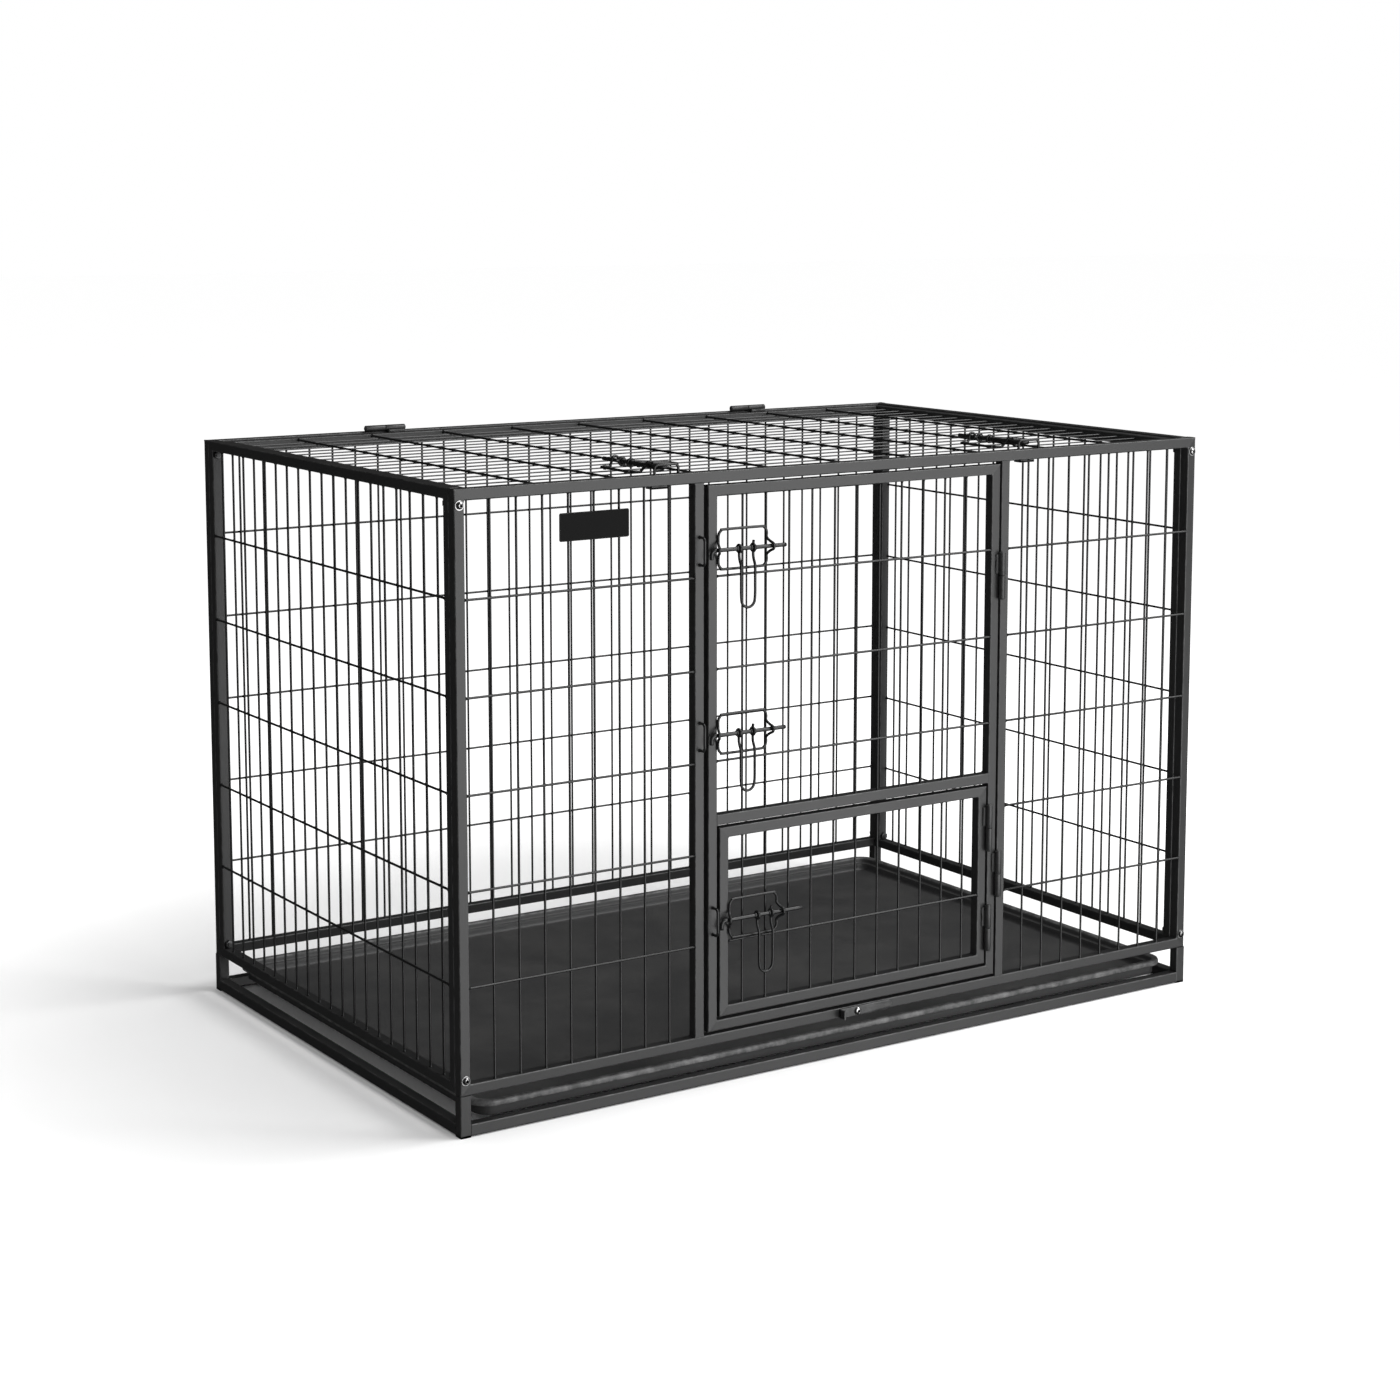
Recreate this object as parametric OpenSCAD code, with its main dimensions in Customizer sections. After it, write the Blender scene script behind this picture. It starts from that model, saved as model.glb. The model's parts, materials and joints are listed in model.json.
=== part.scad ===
// Wire dog crate: a knock-down steel cage on a base frame, with a slide-out tray,
// a hinged lid, a full-height front door and a small door inside that door.
// Millimetres. The origin is the middle of the footprint, on the floor. The doors face -Y.

/* [Crate] */
// Length of the walls, left to right
crate_l = 1220; // [1050:5:1480]
// Depth of the walls, front to back
crate_d = 760; // [600:5:920]
// Height from the floor to the top of the walls
crate_h = 816; // [680:2:990]
// Height of the base frame under the walls
base_h = 54; // [48:1:70]

/* [Steel tube] */
// Face width of every wall and door tube
tube_w = 14; // [12:0.5:17]
// Depth of every wall and door tube, across its wall
tube_d = 15; // [13:0.5:18]
// Wall thickness of the tube
tube_wall = 1.2; // [0.8:0.1:1.6]
// Square section of the base tubes
base_tube = 15; // [13:0.5:18]
// How far the base stands out past the walls
base_proud = 0.8; // [0:0.1:2]

/* [Wire mesh] */
// Diameter of the mesh wires
wire_dia = 3.2; // [2.4:0.1:4.5]
// Spacing of the upright wires in the front, the back and the doors
wire_pitch = 37.2; // [31:0.1:45]
// Spacing of the upright wires in the two ends
side_pitch = 36.3; // [31:0.1:45]
// Spacing of the level wires
row_pitch = 122; // [100:1:150]
// Diameter of the lid's thin long wires
lid_wire_dia = 2; // [1.6:0.1:3.2]
// Spacing of the lid's thin long wires
lid_wire_pitch = 38; // [32:0.5:48]
// Spacing of the lid's thick cross wires
lid_rod_pitch = 119; // [98:1:145]

/* [Doors and lid] */
// Left edge of the left door post, from the left wall
post_at = 349; // [300:1:420]
// Gap on the latch side of the main door
latch_gap = 6.5; // [4:0.5:8]
// Gap on the hinge side of each door
hinge_gap = 3; // [2.4:0.1:4]
// Gap above and below each door
door_gap = 4; // [3:0.5:6]
// Gap on the latch side of the small door
small_gap = 4; // [3:0.5:6]
// Height of the middle rail of the main door, from the floor to its underside
mid_rail_z = 349.5; // [290:0.5:420]
// Gap all round the lid
lid_gap = 3; // [2.4:0.1:4]
// How far the lid's top lies below the top of the walls
lid_drop = 2; // [1:0.5:4]

/* [Hinges] */
// Length of a whole hinge
hinge_l = 65; // [54:1:78]
// Outer diameter of the hinge barrels
barrel_dia = 9; // [8:0.5:10]
// Diameter of the hinge pins
pin_dia = 5; // [4:0.1:5.5]
// Radial play of a pin in its barrel
pin_play = 0.05; // [0.02:0.01:0.1]
// From the bottom of the main door to the middle of its lower hinge
main_hinge_low = 146.5; // [120:0.5:180]
// From the top of the main door to the middle of its upper hinge
main_hinge_high = 155; // [125:0.5:190]
// From the bottom of the small door to the middle of its lower hinge
small_hinge_low = 52.5; // [44:0.5:56]
// From the top of the small door to the middle of its upper hinge
small_hinge_high = 59; // [44:0.5:60]
// Distance of each lid hinge from the nearest end of the crate
lid_hinge_at = 282; // [235:1:340]

/* [Latches] */
// Diameter of the slide bolts
bolt_dia = 5.5; // [4.5:0.1:6]
// Diameter of the latch wires
latch_wire = 3.7; // [3:0.1:4.2]
// Height of the bolt's middle above the face that it lies on
bolt_out = 7; // [6.8:0.1:8]
// Width of the guide loop, along the bolt
guide_l = 76; // [64:1:90]
// Height of the guide loop, across the bolt
guide_h = 52; // [44:1:60]
// Height of the keeper loop, across the bolt
keeper_h = 36; // [36:1:42]
// Length of the pull loop, from the bolt's middle to its far end
pull_l = 79; // [66:1:92]
// Width of the pull loop between its wires
pull_w = 22; // [18:1:24]
// From the top of the main door to its upper bolt
upper_bolt_down = 84; // [70:0.5:100]
// From the middle rail of the main door to its middle bolt
middle_bolt_up = 107.5; // [90:0.5:125]
// Height of the small door's bolt above the middle of that door
small_bolt_up = 4.2; // [0:0.1:12]
// Distance of each lid latch from the nearest end of the crate
lid_latch_at = 310; // [260:1:370]

/* [Tray] */
// Gap between the tray's rim and each end of the crate
tray_side = 28; // [20:1:34]
// Gap between the tray's rim and the front and the back of the crate
tray_front = 6; // [3:1:20]
// Whole height of the tray
tray_h = 22; // [16:1:26]
// Width of the tray's rolled rim
rim_w = 11; // [8:1:16]
// Thickness of the tray's rim
rim_t = 6; // [4:0.5:8]
// Thickness of the tray's floor
tray_wall = 2.5; // [1.5:0.5:4]
// Corner radius of the rim
tray_r = 30; // [24:1:36]

/* [Tray stop] */
// Distance of the stop's pivot from the left wall
stop_at = 612; // [400:1:720]
// Short arm of the stop, which is the thumb end
stop_short = 29; // [24:1:36]

/* [Name plate] */
// Length of the blank plate
plate_l = 102; // [85:1:125]
// Height of the plate
plate_h = 36; // [30:1:44]
// Thickness of the plate
plate_t = 1.2; // [1:0.1:1.3]
// From the left wall to the plate's left edge
plate_at = 147; // [110:1:180]
// From the top of the walls to the plate's bottom edge
plate_down = 75; // [62:1:90]

/* [Fasteners] */
// Thread diameter of the corner bolts
screw_dia = 6; // [5:0.5:6]
// Diameter of the bolt heads
head_dia = 10; // [9:0.5:12]
// Height of the bolt heads
head_h = 3.2; // [2.5:0.1:4]
// Distance of the corner bolts from the inner edges of the top and the bottom rails
bolt_rise = 6; // [6:0.5:16]

/* [Hidden] */

black = "#2b2c2e";
dark = "#1c1d1f";
plastic = "#26272a";
zinc = "#b9bcc0";

// Joints of the welded tubes are hairline gaps, and pieces that rest on each other
// leave a seat gap.
weld_gap = 0.04;
seat_gap = 0.1;
panel_z = base_h + seat_gap;

// Mesh: level wires just inside the outer face, upright wires welded behind them.
mesh_bite = 0.3;
row_in = wire_dia / 2 + 0.4;
upright_in = row_in + wire_dia - mesh_bite;
least_edge = 24;
least_row_edge = 65;
rod_edge = 80;
rod_in = 1.2;

// Openings of the front wall and the two doors: [left, right, bottom, top].
post_right = crate_l - post_at - tube_w;
doorway = [post_at + tube_w, post_right, panel_z + tube_w, crate_h - tube_w];
main_door = [doorway[0] + latch_gap, doorway[1] - hinge_gap,
    doorway[2] + door_gap, doorway[3] - door_gap];
small_door = [main_door[0] + tube_w + small_gap, main_door[1] - tube_w - hinge_gap,
    main_door[2] + tube_w + door_gap, mid_rail_z - door_gap];

// The end walls stand between the front and the back walls.
end_from = tube_d + seat_gap;
end_to = crate_d - tube_d - seat_gap;

// Lid: [left, right, front, back].
lid = [tube_d + lid_gap, crate_l - tube_d - lid_gap,
    tube_d + lid_gap, crate_d - tube_d - lid_gap];
lid_top = crate_h - lid_drop;

// Hinges
leaf_t = 2.5;
leaf_clear = 0.4;
leaf_in = 3;
barrel_lift = 0.3;
axis_out = barrel_dia / 2 + barrel_lift;
knuckle_gap = 0.4;

// The leaves of the main and the small door's hinges share one tube and never meet on it.
leaf_w = (tube_w + hinge_gap) / 2 - leaf_clear;
main_hinge_z = [main_door[2] + main_hinge_low, main_door[3] - main_hinge_high];
small_hinge_z = [small_door[2] + small_hinge_low, small_door[3] - small_hinge_high];
main_axis_x = main_door[1] + hinge_gap / 2;
small_axis_x = small_door[1] + hinge_gap / 2;
lid_axis_y = lid[3] + lid_gap / 2;

// Latches: the wires lie just off the face, and clear the bolt all round.
face_gap = 0.1;
bolt_play = 0.3;
arch_r = (bolt_dia + latch_wire) / 2 + bolt_play;
arch_kink = 5;
arch_foot = 11;
guide_r = 9;
eye_play = 0.15;
eye_r = (bolt_dia + latch_wire) / 2 + eye_play;
collar_r = bolt_dia / 2 + 1.1;
collar_l = 2;
hook_l = 12;
lid_bolt_out = bolt_out + lid_drop;
upper_bolt_z = main_door[3] - upper_bolt_down;
middle_bolt_z = mid_rail_z + tube_w + middle_bolt_up;
main_bolt_z = [upper_bolt_z, middle_bolt_z];
small_bolt_z = (small_door[2] + small_door[3]) / 2 + small_bolt_up;
lid_latches = [lid_latch_at, crate_l - lid_latch_at];
pull_lie = 5;

// Bolts drawn back: place of the tip, length, middle of the pull, and start of the guide,
// each measured along the bolt from the keeper's end.
tip_back = 0.2;
main_pull_in = 40;
long_pull_in = 52;
main_guide_x = main_door[0] + tube_w;
main_tip_x = main_door[0] + tip_back;
main_bolt_l = 117;
main_pull_x = main_guide_x + main_pull_in;
main_keeper_x = post_at + tube_w / 2;
small_guide_x = small_door[0] + tube_w;
small_tip_x = main_door[0] + tube_w + 2.5;
small_bolt_l = 130;
small_pull_x = small_guide_x + long_pull_in;
small_keeper_x = main_door[0] + tube_w / 2;
lid_guide_y = 52;
lid_tip_y = lid[2] + 4;
lid_bolt_l = 140;
lid_pull_y = lid_guide_y + long_pull_in;
lid_keeper_y = tube_d / 2;

// Base and tray
base_low = -base_proud;
base_long = crate_l + 2 * base_proud;
base_deep = crate_d + 2 * base_proud;
plug_t = 1.5;
cap_t = 2;
rail_top = plug_t + base_tube;
tray_z = rail_top + 0.3;
stud_r = 4;
stud_play = 0.2;
bar_w = 20;
bar_t = 6;

// Tray stop: its long arm hangs in front of the tray and stays clear of the floor.
stop_clear = 2.5;
stop_z = base_h + 0.5 * tube_w;
stop_w = 13;
stop_long = stop_z - stop_w / 2 - stop_clear;
stop_t = 2.5;
stop_off = 1.5;
stop_lip = 9;

// Corner bolts
washer_t = 1.2;
washer_dia = head_dia + 2.5;
nut_h = 5;
nut_dia = 11.5;
hole_play = 0.2;
corner_x = tube_w / 2;
corner_z = [panel_z + tube_w + bolt_rise, crate_h - tube_w - bolt_rise];
grip = tube_d + seat_gap + tube_w + nut_h + 1;
socket_dia = 4.6;

round_fn = 48;
wire_fn = 24;

// Moves a piece from crate coordinates, which start at the front left corner,
// to the middle of the footprint.
module home() {
    translate([-crate_l / 2, -crate_d / 2, 0]) children();
}

// ---- Tube ----

// A plate of outline points in X and Z, standing from y = 0 to deep.
module slab(points, deep) {
    translate([0, deep, 0]) rotate([90, 0, 0]) linear_extrude(deep) polygon(points);
}

// A hollow tube along X whose ends are cut at 45 degrees for a welded corner.
module mitred_bar(long) {
    difference() {
        slab([[weld_gap, 0], [long - weld_gap, 0],
            [long - tube_w - weld_gap, tube_w], [tube_w + weld_gap, tube_w]], tube_d);
        translate([-1, tube_wall, tube_wall])
            cube([long + 2, tube_d - 2 * tube_wall, tube_w - 2 * tube_wall]);
    }
}

// A hollow tube along X with square ends, between x = 0 and long.
module straight_bar(long) {
    difference() {
        translate([weld_gap, 0, 0]) cube([long - 2 * weld_gap, tube_d, tube_w]);
        translate([-1, tube_wall, tube_wall])
            cube([long + 2, tube_d - 2 * tube_wall, tube_w - 2 * tube_wall]);
    }
}

// Stands a bar that lies along X upright along Z.
module upright() {
    mirror([1, 0, -1]) children();
}

// A rectangle of four mitred tubes in the XZ plane.
module mitred_frame(long, high) {
    mitred_bar(long);
    translate([0, 0, high]) mirror([0, 0, 1]) mitred_bar(long);
    upright() mitred_bar(high);
    translate([long, 0, 0]) mirror([1, 0, 0]) upright() mitred_bar(high);
}

// ---- Mesh ----

// Places of wires at one spacing, centred in an opening from low to high.
function spread(low, high, pitch, edge) =
    let (count = floor((high - low - 2 * edge) / pitch),
        first = (low + high - count * pitch) / 2)
    [for (i = [0 : count]) first + i * pitch];

// Heights of the level wires of the walls, which the doors line up with.
wall_rows = spread(panel_z + tube_w, crate_h - tube_w, row_pitch, least_row_edge);
function rows_between(low, high) =
    [for (z = wall_rows) if (z > low + least_edge && z < high - least_edge) z];

// A wire mesh in an opening [left, right, bottom, top] of a wall whose outer face is y = 0.
module mesh(opening, pitch, rows) {
    long = opening[1] - opening[0];
    high = opening[3] - opening[2];
    for (z = rows)
        translate([opening[0], row_in, z]) rotate([0, 90, 0])
            cylinder(d = wire_dia, h = long, $fn = wire_fn);
    for (x = spread(opening[0], opening[1], pitch, least_edge))
        translate([x, upright_in, opening[2]])
            cylinder(d = wire_dia, h = high, $fn = wire_fn);
}

// ---- Walls ----

// Holes for the corner bolts in a wall of a given length, through its end tubes.
module corner_holes(long) {
    for (x = [corner_x, long - corner_x], z = corner_z)
        translate([x, -1, z]) rotate([-90, 0, 0])
            cylinder(d = screw_dia + 2 * hole_play, h = tube_d + 2, $fn = round_fn);
}

// The long wall frame that the front and the back share, outer face at y = 0.
module long_frame() {
    difference() {
        translate([0, 0, panel_z]) mitred_frame(crate_l, crate_h - panel_z);
        corner_holes(crate_l);
        for (x = [corner_x, crate_l - corner_x])
            translate([x, tube_d / 2, panel_z - 1])
                cylinder(r = stud_r + stud_play, h = tube_wall + 2, $fn = round_fn);
    }
}

// Turns a wall that runs along X into the left end wall.
module at_left() {
    mirror([1, -1, 0]) children();
}

module at_right() {
    translate([crate_l, 0, 0]) mirror([1, 0, 0]) at_left() children();
}

module at_back() {
    translate([0, crate_d, 0]) mirror([0, 1, 0]) children();
}

module end_frame() {
    difference() {
        translate([end_from, 0, panel_z])
            mitred_frame(end_to - end_from, crate_h - panel_z);
        for (z = corner_z)
            translate([0, corner_x, z]) rotate([0, 90, 0])
                cylinder(d = screw_dia + 2 * hole_play, h = crate_d, $fn = round_fn);
    }
}

module end_mesh() {
    mesh([end_from + tube_w, end_to - tube_w, panel_z + tube_w, crate_h - tube_w],
        side_pitch, wall_rows);
}

module left_panel_frame() {
    color(black) home() at_left() end_frame();
}

module right_panel_frame() {
    color(black) home() at_right() end_frame();
}

module left_panel_mesh() {
    color(dark) home() at_left() end_mesh();
}

module right_panel_mesh() {
    color(dark) home() at_right() end_mesh();
}

module back_panel_frame() {
    color(black) home() at_back() long_frame();
}

module back_panel_mesh() {
    color(dark) home() at_back()
        mesh([tube_w, crate_l - tube_w, panel_z + tube_w, crate_h - tube_w],
            wire_pitch, wall_rows);
}

module front_panel_frame() {
    color(black) home() long_frame();
}

module front_door_posts() {
    color(black) home()
        for (x = [post_at, post_right])
            translate([x, 0, doorway[2]]) upright() straight_bar(doorway[3] - doorway[2]);
}

module front_left_mesh() {
    color(dark) home()
        mesh([tube_w, post_at, panel_z + tube_w, crate_h - tube_w], wire_pitch, wall_rows);
}

module front_right_mesh() {
    color(dark) home()
        mesh([post_right + tube_w, crate_l - tube_w, panel_z + tube_w, crate_h - tube_w],
            wire_pitch, wall_rows);
}

// ---- Base ----

// The four corners of the base, with the outer corner of each at the child's origin.
module base_corners() {
    for (x = [0, 1], y = [0, 1])
        translate([base_low + x * base_long, base_low + y * base_deep, 0])
            mirror([x, 0, 0]) mirror([0, y, 0]) children();
}

// The four corners of the walls, with the outer corner of each at the child's origin.
module wall_corners() {
    for (x = [0, 1], y = [0, 1])
        translate([x * crate_l, y * crate_d, 0])
            mirror([x, 0, 0]) mirror([0, y, 0]) children();
}

// Black plastic end plugs under the posts, which are the crate's feet.
module foot_plugs() {
    inner = base_tube - 2 * tube_wall - 0.2;
    color(plastic) home() base_corners() {
        cube([base_tube, base_tube, plug_t]);
        translate([(base_tube - inner) / 2, (base_tube - inner) / 2, plug_t - 0.5])
            cube([inner, inner, 12]);
    }
}

module base_posts() {
    color(black) home() difference() {
        base_corners() difference() {
            translate([0, 0, plug_t]) cube([base_tube, base_tube, base_h - plug_t]);
            translate([tube_wall, tube_wall, 0])
                cube([base_tube - 2 * tube_wall, base_tube - 2 * tube_wall, base_h - cap_t]);
        }
        wall_corners() translate([corner_x, tube_d / 2, base_h - cap_t - 1])
            cylinder(r = stud_r, h = cap_t + 2, $fn = round_fn);
    }
}

// A hollow base tube along X.
module base_bar(long) {
    difference() {
        cube([long, base_tube, base_tube]);
        translate([-1, tube_wall, tube_wall])
            cube([long + 2, base_tube - 2 * tube_wall, base_tube - 2 * tube_wall]);
    }
}

module base_rails() {
    span = base_tube + weld_gap;
    color(black) home() translate([base_low, base_low, plug_t]) {
        for (y = [0, base_deep - base_tube])
            translate([span, y, 0]) base_bar(base_long - 2 * span);
        for (x = [0, base_long - base_tube])
            translate([x, span, 0]) mirror([1, -1, 0]) base_bar(base_deep - 2 * span);
    }
}

// Three flat bars from the front rail to the back rail, which carry the tray.
module tray_rest_bars() {
    from = base_low + base_tube;
    color(black) home()
        for (i = [1 : 3])
            translate([i * crate_l / 4 - bar_w / 2, from + weld_gap, rail_top - bar_t])
                cube([bar_w, crate_d - 2 * (from + weld_gap), bar_t]);
}

// Studs that stand up from the base posts into the front and back walls.
module base_studs() {
    color(zinc) home() wall_corners()
        translate([corner_x, tube_d / 2, base_h - cap_t - 6])
            cylinder(r = stud_r, h = cap_t + 6 + tube_wall + 9, $fn = round_fn);
}

// ---- Tray ----

// A rectangle with round corners, low to high.
module round_plate(low, high, r, thick) {
    linear_extrude(thick) union() {
        translate([low[0] + r, low[1]]) square([high[0] - low[0] - 2 * r, high[1] - low[1]]);
        translate([low[0], low[1] + r]) square([high[0] - low[0], high[1] - low[1] - 2 * r]);
        for (x = [low[0] + r, high[0] - r], y = [low[1] + r, high[1] - r])
            translate([x, y]) circle(r = r, $fn = round_fn);
    }
}

module tray() {
    low = [tray_side, tray_front];
    high = [crate_l - tray_side, crate_d - tray_front];
    skirt = [rim_w - tray_wall, rim_w - tray_wall];
    well = [rim_w, rim_w];
    color(plastic) home() translate([0, 0, tray_z]) difference() {
        union() {
            translate([0, 0, tray_h - rim_t]) round_plate(low, high, tray_r, rim_t);
            round_plate(low + skirt, high - skirt, tray_r - skirt[0], tray_h - rim_t + 1);
        }
        translate([0, 0, tray_wall])
            round_plate(low + well, high - well, tray_r - rim_w, tray_h);
    }
}

// ---- Doors and lid ----

module main_door_frame() {
    long = main_door[1] - main_door[0];
    color(black) home() {
        translate([main_door[0], 0, main_door[2]])
            mitred_frame(long, main_door[3] - main_door[2]);
        translate([main_door[0] + tube_w, 0, mid_rail_z])
            straight_bar(long - 2 * tube_w);
    }
}

module main_door_mesh() {
    low = mid_rail_z + tube_w;
    high = main_door[3] - tube_w;
    color(dark) home()
        mesh([main_door[0] + tube_w, main_door[1] - tube_w, low, high],
            wire_pitch, rows_between(low, high));
}

module small_door_frame() {
    color(black) home() translate([small_door[0], 0, small_door[2]])
        mitred_frame(small_door[1] - small_door[0], small_door[3] - small_door[2]);
}

module small_door_mesh() {
    low = small_door[2] + tube_w;
    high = small_door[3] - tube_w;
    color(dark) home()
        mesh([small_door[0] + tube_w, small_door[1] - tube_w, low, high],
            wire_pitch, rows_between(low, high));
}

// Lays a wall that stands in XZ flat, with its outer face up at the lid's top.
module lid_place() {
    translate([0, 0, lid_top]) mirror([0, 1, -1]) mirror([0, 1, 0]) children();
}

module lid_frame() {
    color(black) home() lid_place() translate([lid[0], 0, lid[2]])
        mitred_frame(lid[1] - lid[0], lid[3] - lid[2]);
}

// Thick wires from front to back, with thin wires along the lid welded under them.
module lid_mesh() {
    left = lid[0] + tube_w;
    right = lid[1] - tube_w;
    front = lid[2] + tube_w;
    back = lid[3] - tube_w;
    rod_z = lid_top - rod_in - wire_dia / 2;
    thin_z = rod_z - (wire_dia + lid_wire_dia) / 2 + mesh_bite;
    color(dark) home() {
        for (x = spread(left, right, lid_rod_pitch, rod_edge))
            translate([x, front, rod_z]) rotate([-90, 0, 0])
                cylinder(d = wire_dia, h = back - front, $fn = wire_fn);
        for (y = spread(front, back, lid_wire_pitch, least_edge))
            translate([left, y, thin_z]) rotate([0, 90, 0])
                cylinder(d = lid_wire_dia, h = right - left, $fn = wire_fn);
    }
}

// Two angle tabs, welded behind the front wall's top rail, that the closed lid rests on.
module lid_rests() {
    tab_w = 24;
    tab_t = 3;
    leg_t = lid_gap / 2;
    leg_top = crate_h - tube_w / 2;
    reach = lid_gap + tube_w - 2;
    low = lid_top - tube_d - seat_gap - tab_t;
    color(black) home()
        for (x = [crate_l / 4, 3 * crate_l / 4])
            translate([x - tab_w / 2, tube_d + weld_gap, low]) {
                cube([tab_w, reach, tab_t]);
                cube([tab_w, leg_t, leg_top - low]);
            }
}

// ---- Hinges ----
// A hinge stands along Z with its axis axis_out in front of the face y = 0, at x = 0.
// hand is 1 for the leaf at +X and -1 for the leaf at -X. pad thickens the leaf backwards.

module hinge_half(upper, hand, pad) {
    knuckle = (hinge_l - knuckle_gap) / 2;
    low = upper ? knuckle_gap / 2 : -hinge_l / 2;
    translate([0, 0, low]) difference() {
        union() {
            translate([0, -axis_out, 0]) cylinder(d = barrel_dia, h = knuckle, $fn = round_fn);
            translate([hand > 0 ? 0 : -leaf_w, -leaf_t, leaf_in])
                cube([leaf_w, leaf_t + pad, knuckle - 2 * leaf_in]);
        }
        translate([0, -axis_out, -1])
            cylinder(r = pin_dia / 2 + pin_play, h = knuckle + 2, $fn = round_fn);
    }
}

module hinge_pin() {
    translate([0, -axis_out, -hinge_l / 2 + 0.5])
        cylinder(d = pin_dia, h = hinge_l - 1, $fn = round_fn);
}

module main_hinges() {
    for (z = main_hinge_z) translate([main_axis_x, 0, z]) children();
}

module small_hinges() {
    for (z = small_hinge_z) translate([small_axis_x, 0, z]) children();
}

// The lid's hinges lie along X on the top of the back wall, leaf +X to the front.
module lid_hinges() {
    for (x = [lid_hinge_at, crate_l - lid_hinge_at])
        translate([x, lid_axis_y, crate_h])
            multmatrix([[0, 0, 1, 0], [-1, 0, 0, 0], [0, -1, 0, 0], [0, 0, 0, 1]])
                children();
}

module main_hinge_post_halves() {
    color(black) home() main_hinges() hinge_half(false, 1, 0);
}

module main_hinge_door_halves() {
    color(black) home() main_hinges() hinge_half(true, -1, 0);
}

module main_hinge_pins() {
    color(dark) home() main_hinges() hinge_pin();
}

module small_hinge_fixed_halves() {
    color(black) home() small_hinges() hinge_half(false, 1, 0);
}

module small_hinge_door_halves() {
    color(black) home() small_hinges() hinge_half(true, -1, 0);
}

module small_hinge_pins() {
    color(dark) home() small_hinges() hinge_pin();
}

module lid_hinge_wall_halves() {
    color(black) home() lid_hinges() hinge_half(false, -1, 0);
}

module lid_hinge_lid_halves() {
    color(black) home() lid_hinges() hinge_half(true, 1, lid_drop);
}

module lid_hinge_pins() {
    color(dark) home() lid_hinges() hinge_pin();
}

// ---- Latches ----
// A latch lies along X, with its keeper towards -X, Y across the bolt and Z out of the face.

function unit(v) = v / norm(v);

// Places of a ring of sides points round a path's point, square to the path.
function ring(p, along, aside, r, sides) =
    let (a = unit(cross(along, aside)), b = cross(a, along))
    [for (j = [0 : sides - 1])
        p + r * (cos(360 * j / sides) * a + sin(360 * j / sides) * b)];

// A bent wire along a path. aside is a direction that the path never runs along.
module wire(path, closed, aside) {
    sides = 8;
    n = len(path);
    last = n - 1;
    rings = [for (i = [0 : last])
        let (before = closed ? path[(i + last) % n] : path[max(i - 1, 0)],
            after = closed ? path[(i + 1) % n] : path[min(i + 1, last)])
        each ring(path[i], unit(after - before), aside, latch_wire / 2, sides)];
    walls = [for (i = [0 : closed ? last : last - 1], j = [0 : sides - 1])
        let (k = (i + 1) % n, m = (j + 1) % sides)
        [i * sides + m, k * sides + m, k * sides + j, i * sides + j]];
    ends = closed ? [] : [
        [for (j = [sides - 1 : -1 : 0]) j],
        [for (j = [0 : sides - 1]) last * sides + j]];
    polyhedron(points = rings, faces = concat(walls, ends));
}

// Points of an arc in XY at a height z.
function bend(x, y, z, r, from, to, steps) =
    [for (i = [0 : steps]) let (a = from + (to - from) * i / steps)
        [x + r * cos(a), y + r * sin(a), z]];

// One end of a guide loop, which arches over the bolt and kinks outwards. way is 1 going
// up at the far end and -1 going down at the near end.
function arch(x, out, way, foot_z) =
    let (half = [[arch_foot, foot_z, 0], [1.2 * arch_r, out, 0.55 * arch_kink],
            [0.75 * arch_r, out + 0.86 * arch_r, 0.85 * arch_kink]],
        top = [[x + way * arch_kink, 0, out + 1.04 * arch_r]])
    concat([for (h = half) [x + way * h[2], -way * h[0], h[1]]], top,
        [for (i = [2 : -1 : 0]) [x + way * half[i][2], way * half[i][0], half[i][1]]]);

module guide(from, out) {
    z = latch_wire / 2 + face_gap;
    to = from + guide_l;
    edge = guide_h / 2 - guide_r;
    wire(concat(
        arch(to, out, 1, z),
        bend(to - guide_r, edge, z, guide_r, 0, 90, 3),
        bend(from + guide_r, edge, z, guide_r, 90, 180, 3),
        arch(from, out, -1, z),
        bend(from + guide_r, -edge, z, guide_r, 180, 270, 3),
        bend(to - guide_r, -edge, z, guide_r, 270, 360, 3)), true, [0, 0, 1]);
}

// A staple over the bolt. foot is the height of the face that it stands on.
module keeper(x, out, foot) {
    top = out + arch_r + 0.2;
    half = keeper_h / 2;
    r = 5;
    wire(concat([[x, -half, foot + face_gap]],
        [for (a = [0 : 30 : 90]) [x, -half + r - r * cos(a), top - r + r * sin(a)]],
        [for (a = [90 : 30 : 180]) [x, half - r - r * cos(a), top - r + r * sin(a)]],
        [[x, half, foot + face_gap]]), false, [1, 0, 0]);
}

// A round bar with a hooked tip, and a collar on each side of each eye of the pull.
module slide_bolt(tip, long, pull, out) {
    r = bolt_dia / 2;
    bend_r = 6;
    eye_edge = latch_wire / 2 + 0.4;
    translate([tip + bend_r, 0, out]) rotate([0, 90, 0])
        cylinder(r = r, h = long - bend_r, $fn = round_fn);
    translate([tip + bend_r, -bend_r, out]) rotate([0, 0, 90])
        rotate_extrude(angle = 90, $fn = round_fn) translate([bend_r, 0]) circle(r = r);
    translate([tip, -bend_r, out]) rotate([90, 0, 0])
        cylinder(r = r, h = hook_l - bend_r, $fn = round_fn);
    for (eye = [-1, 1], side = [-1, 1])
        translate([pull + eye * pull_w / 2 + side * (eye_edge + collar_l / 2), 0, out])
            rotate([0, 90, 0])
                cylinder(r = collar_r, h = collar_l, center = true, $fn = round_fn);
}

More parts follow.
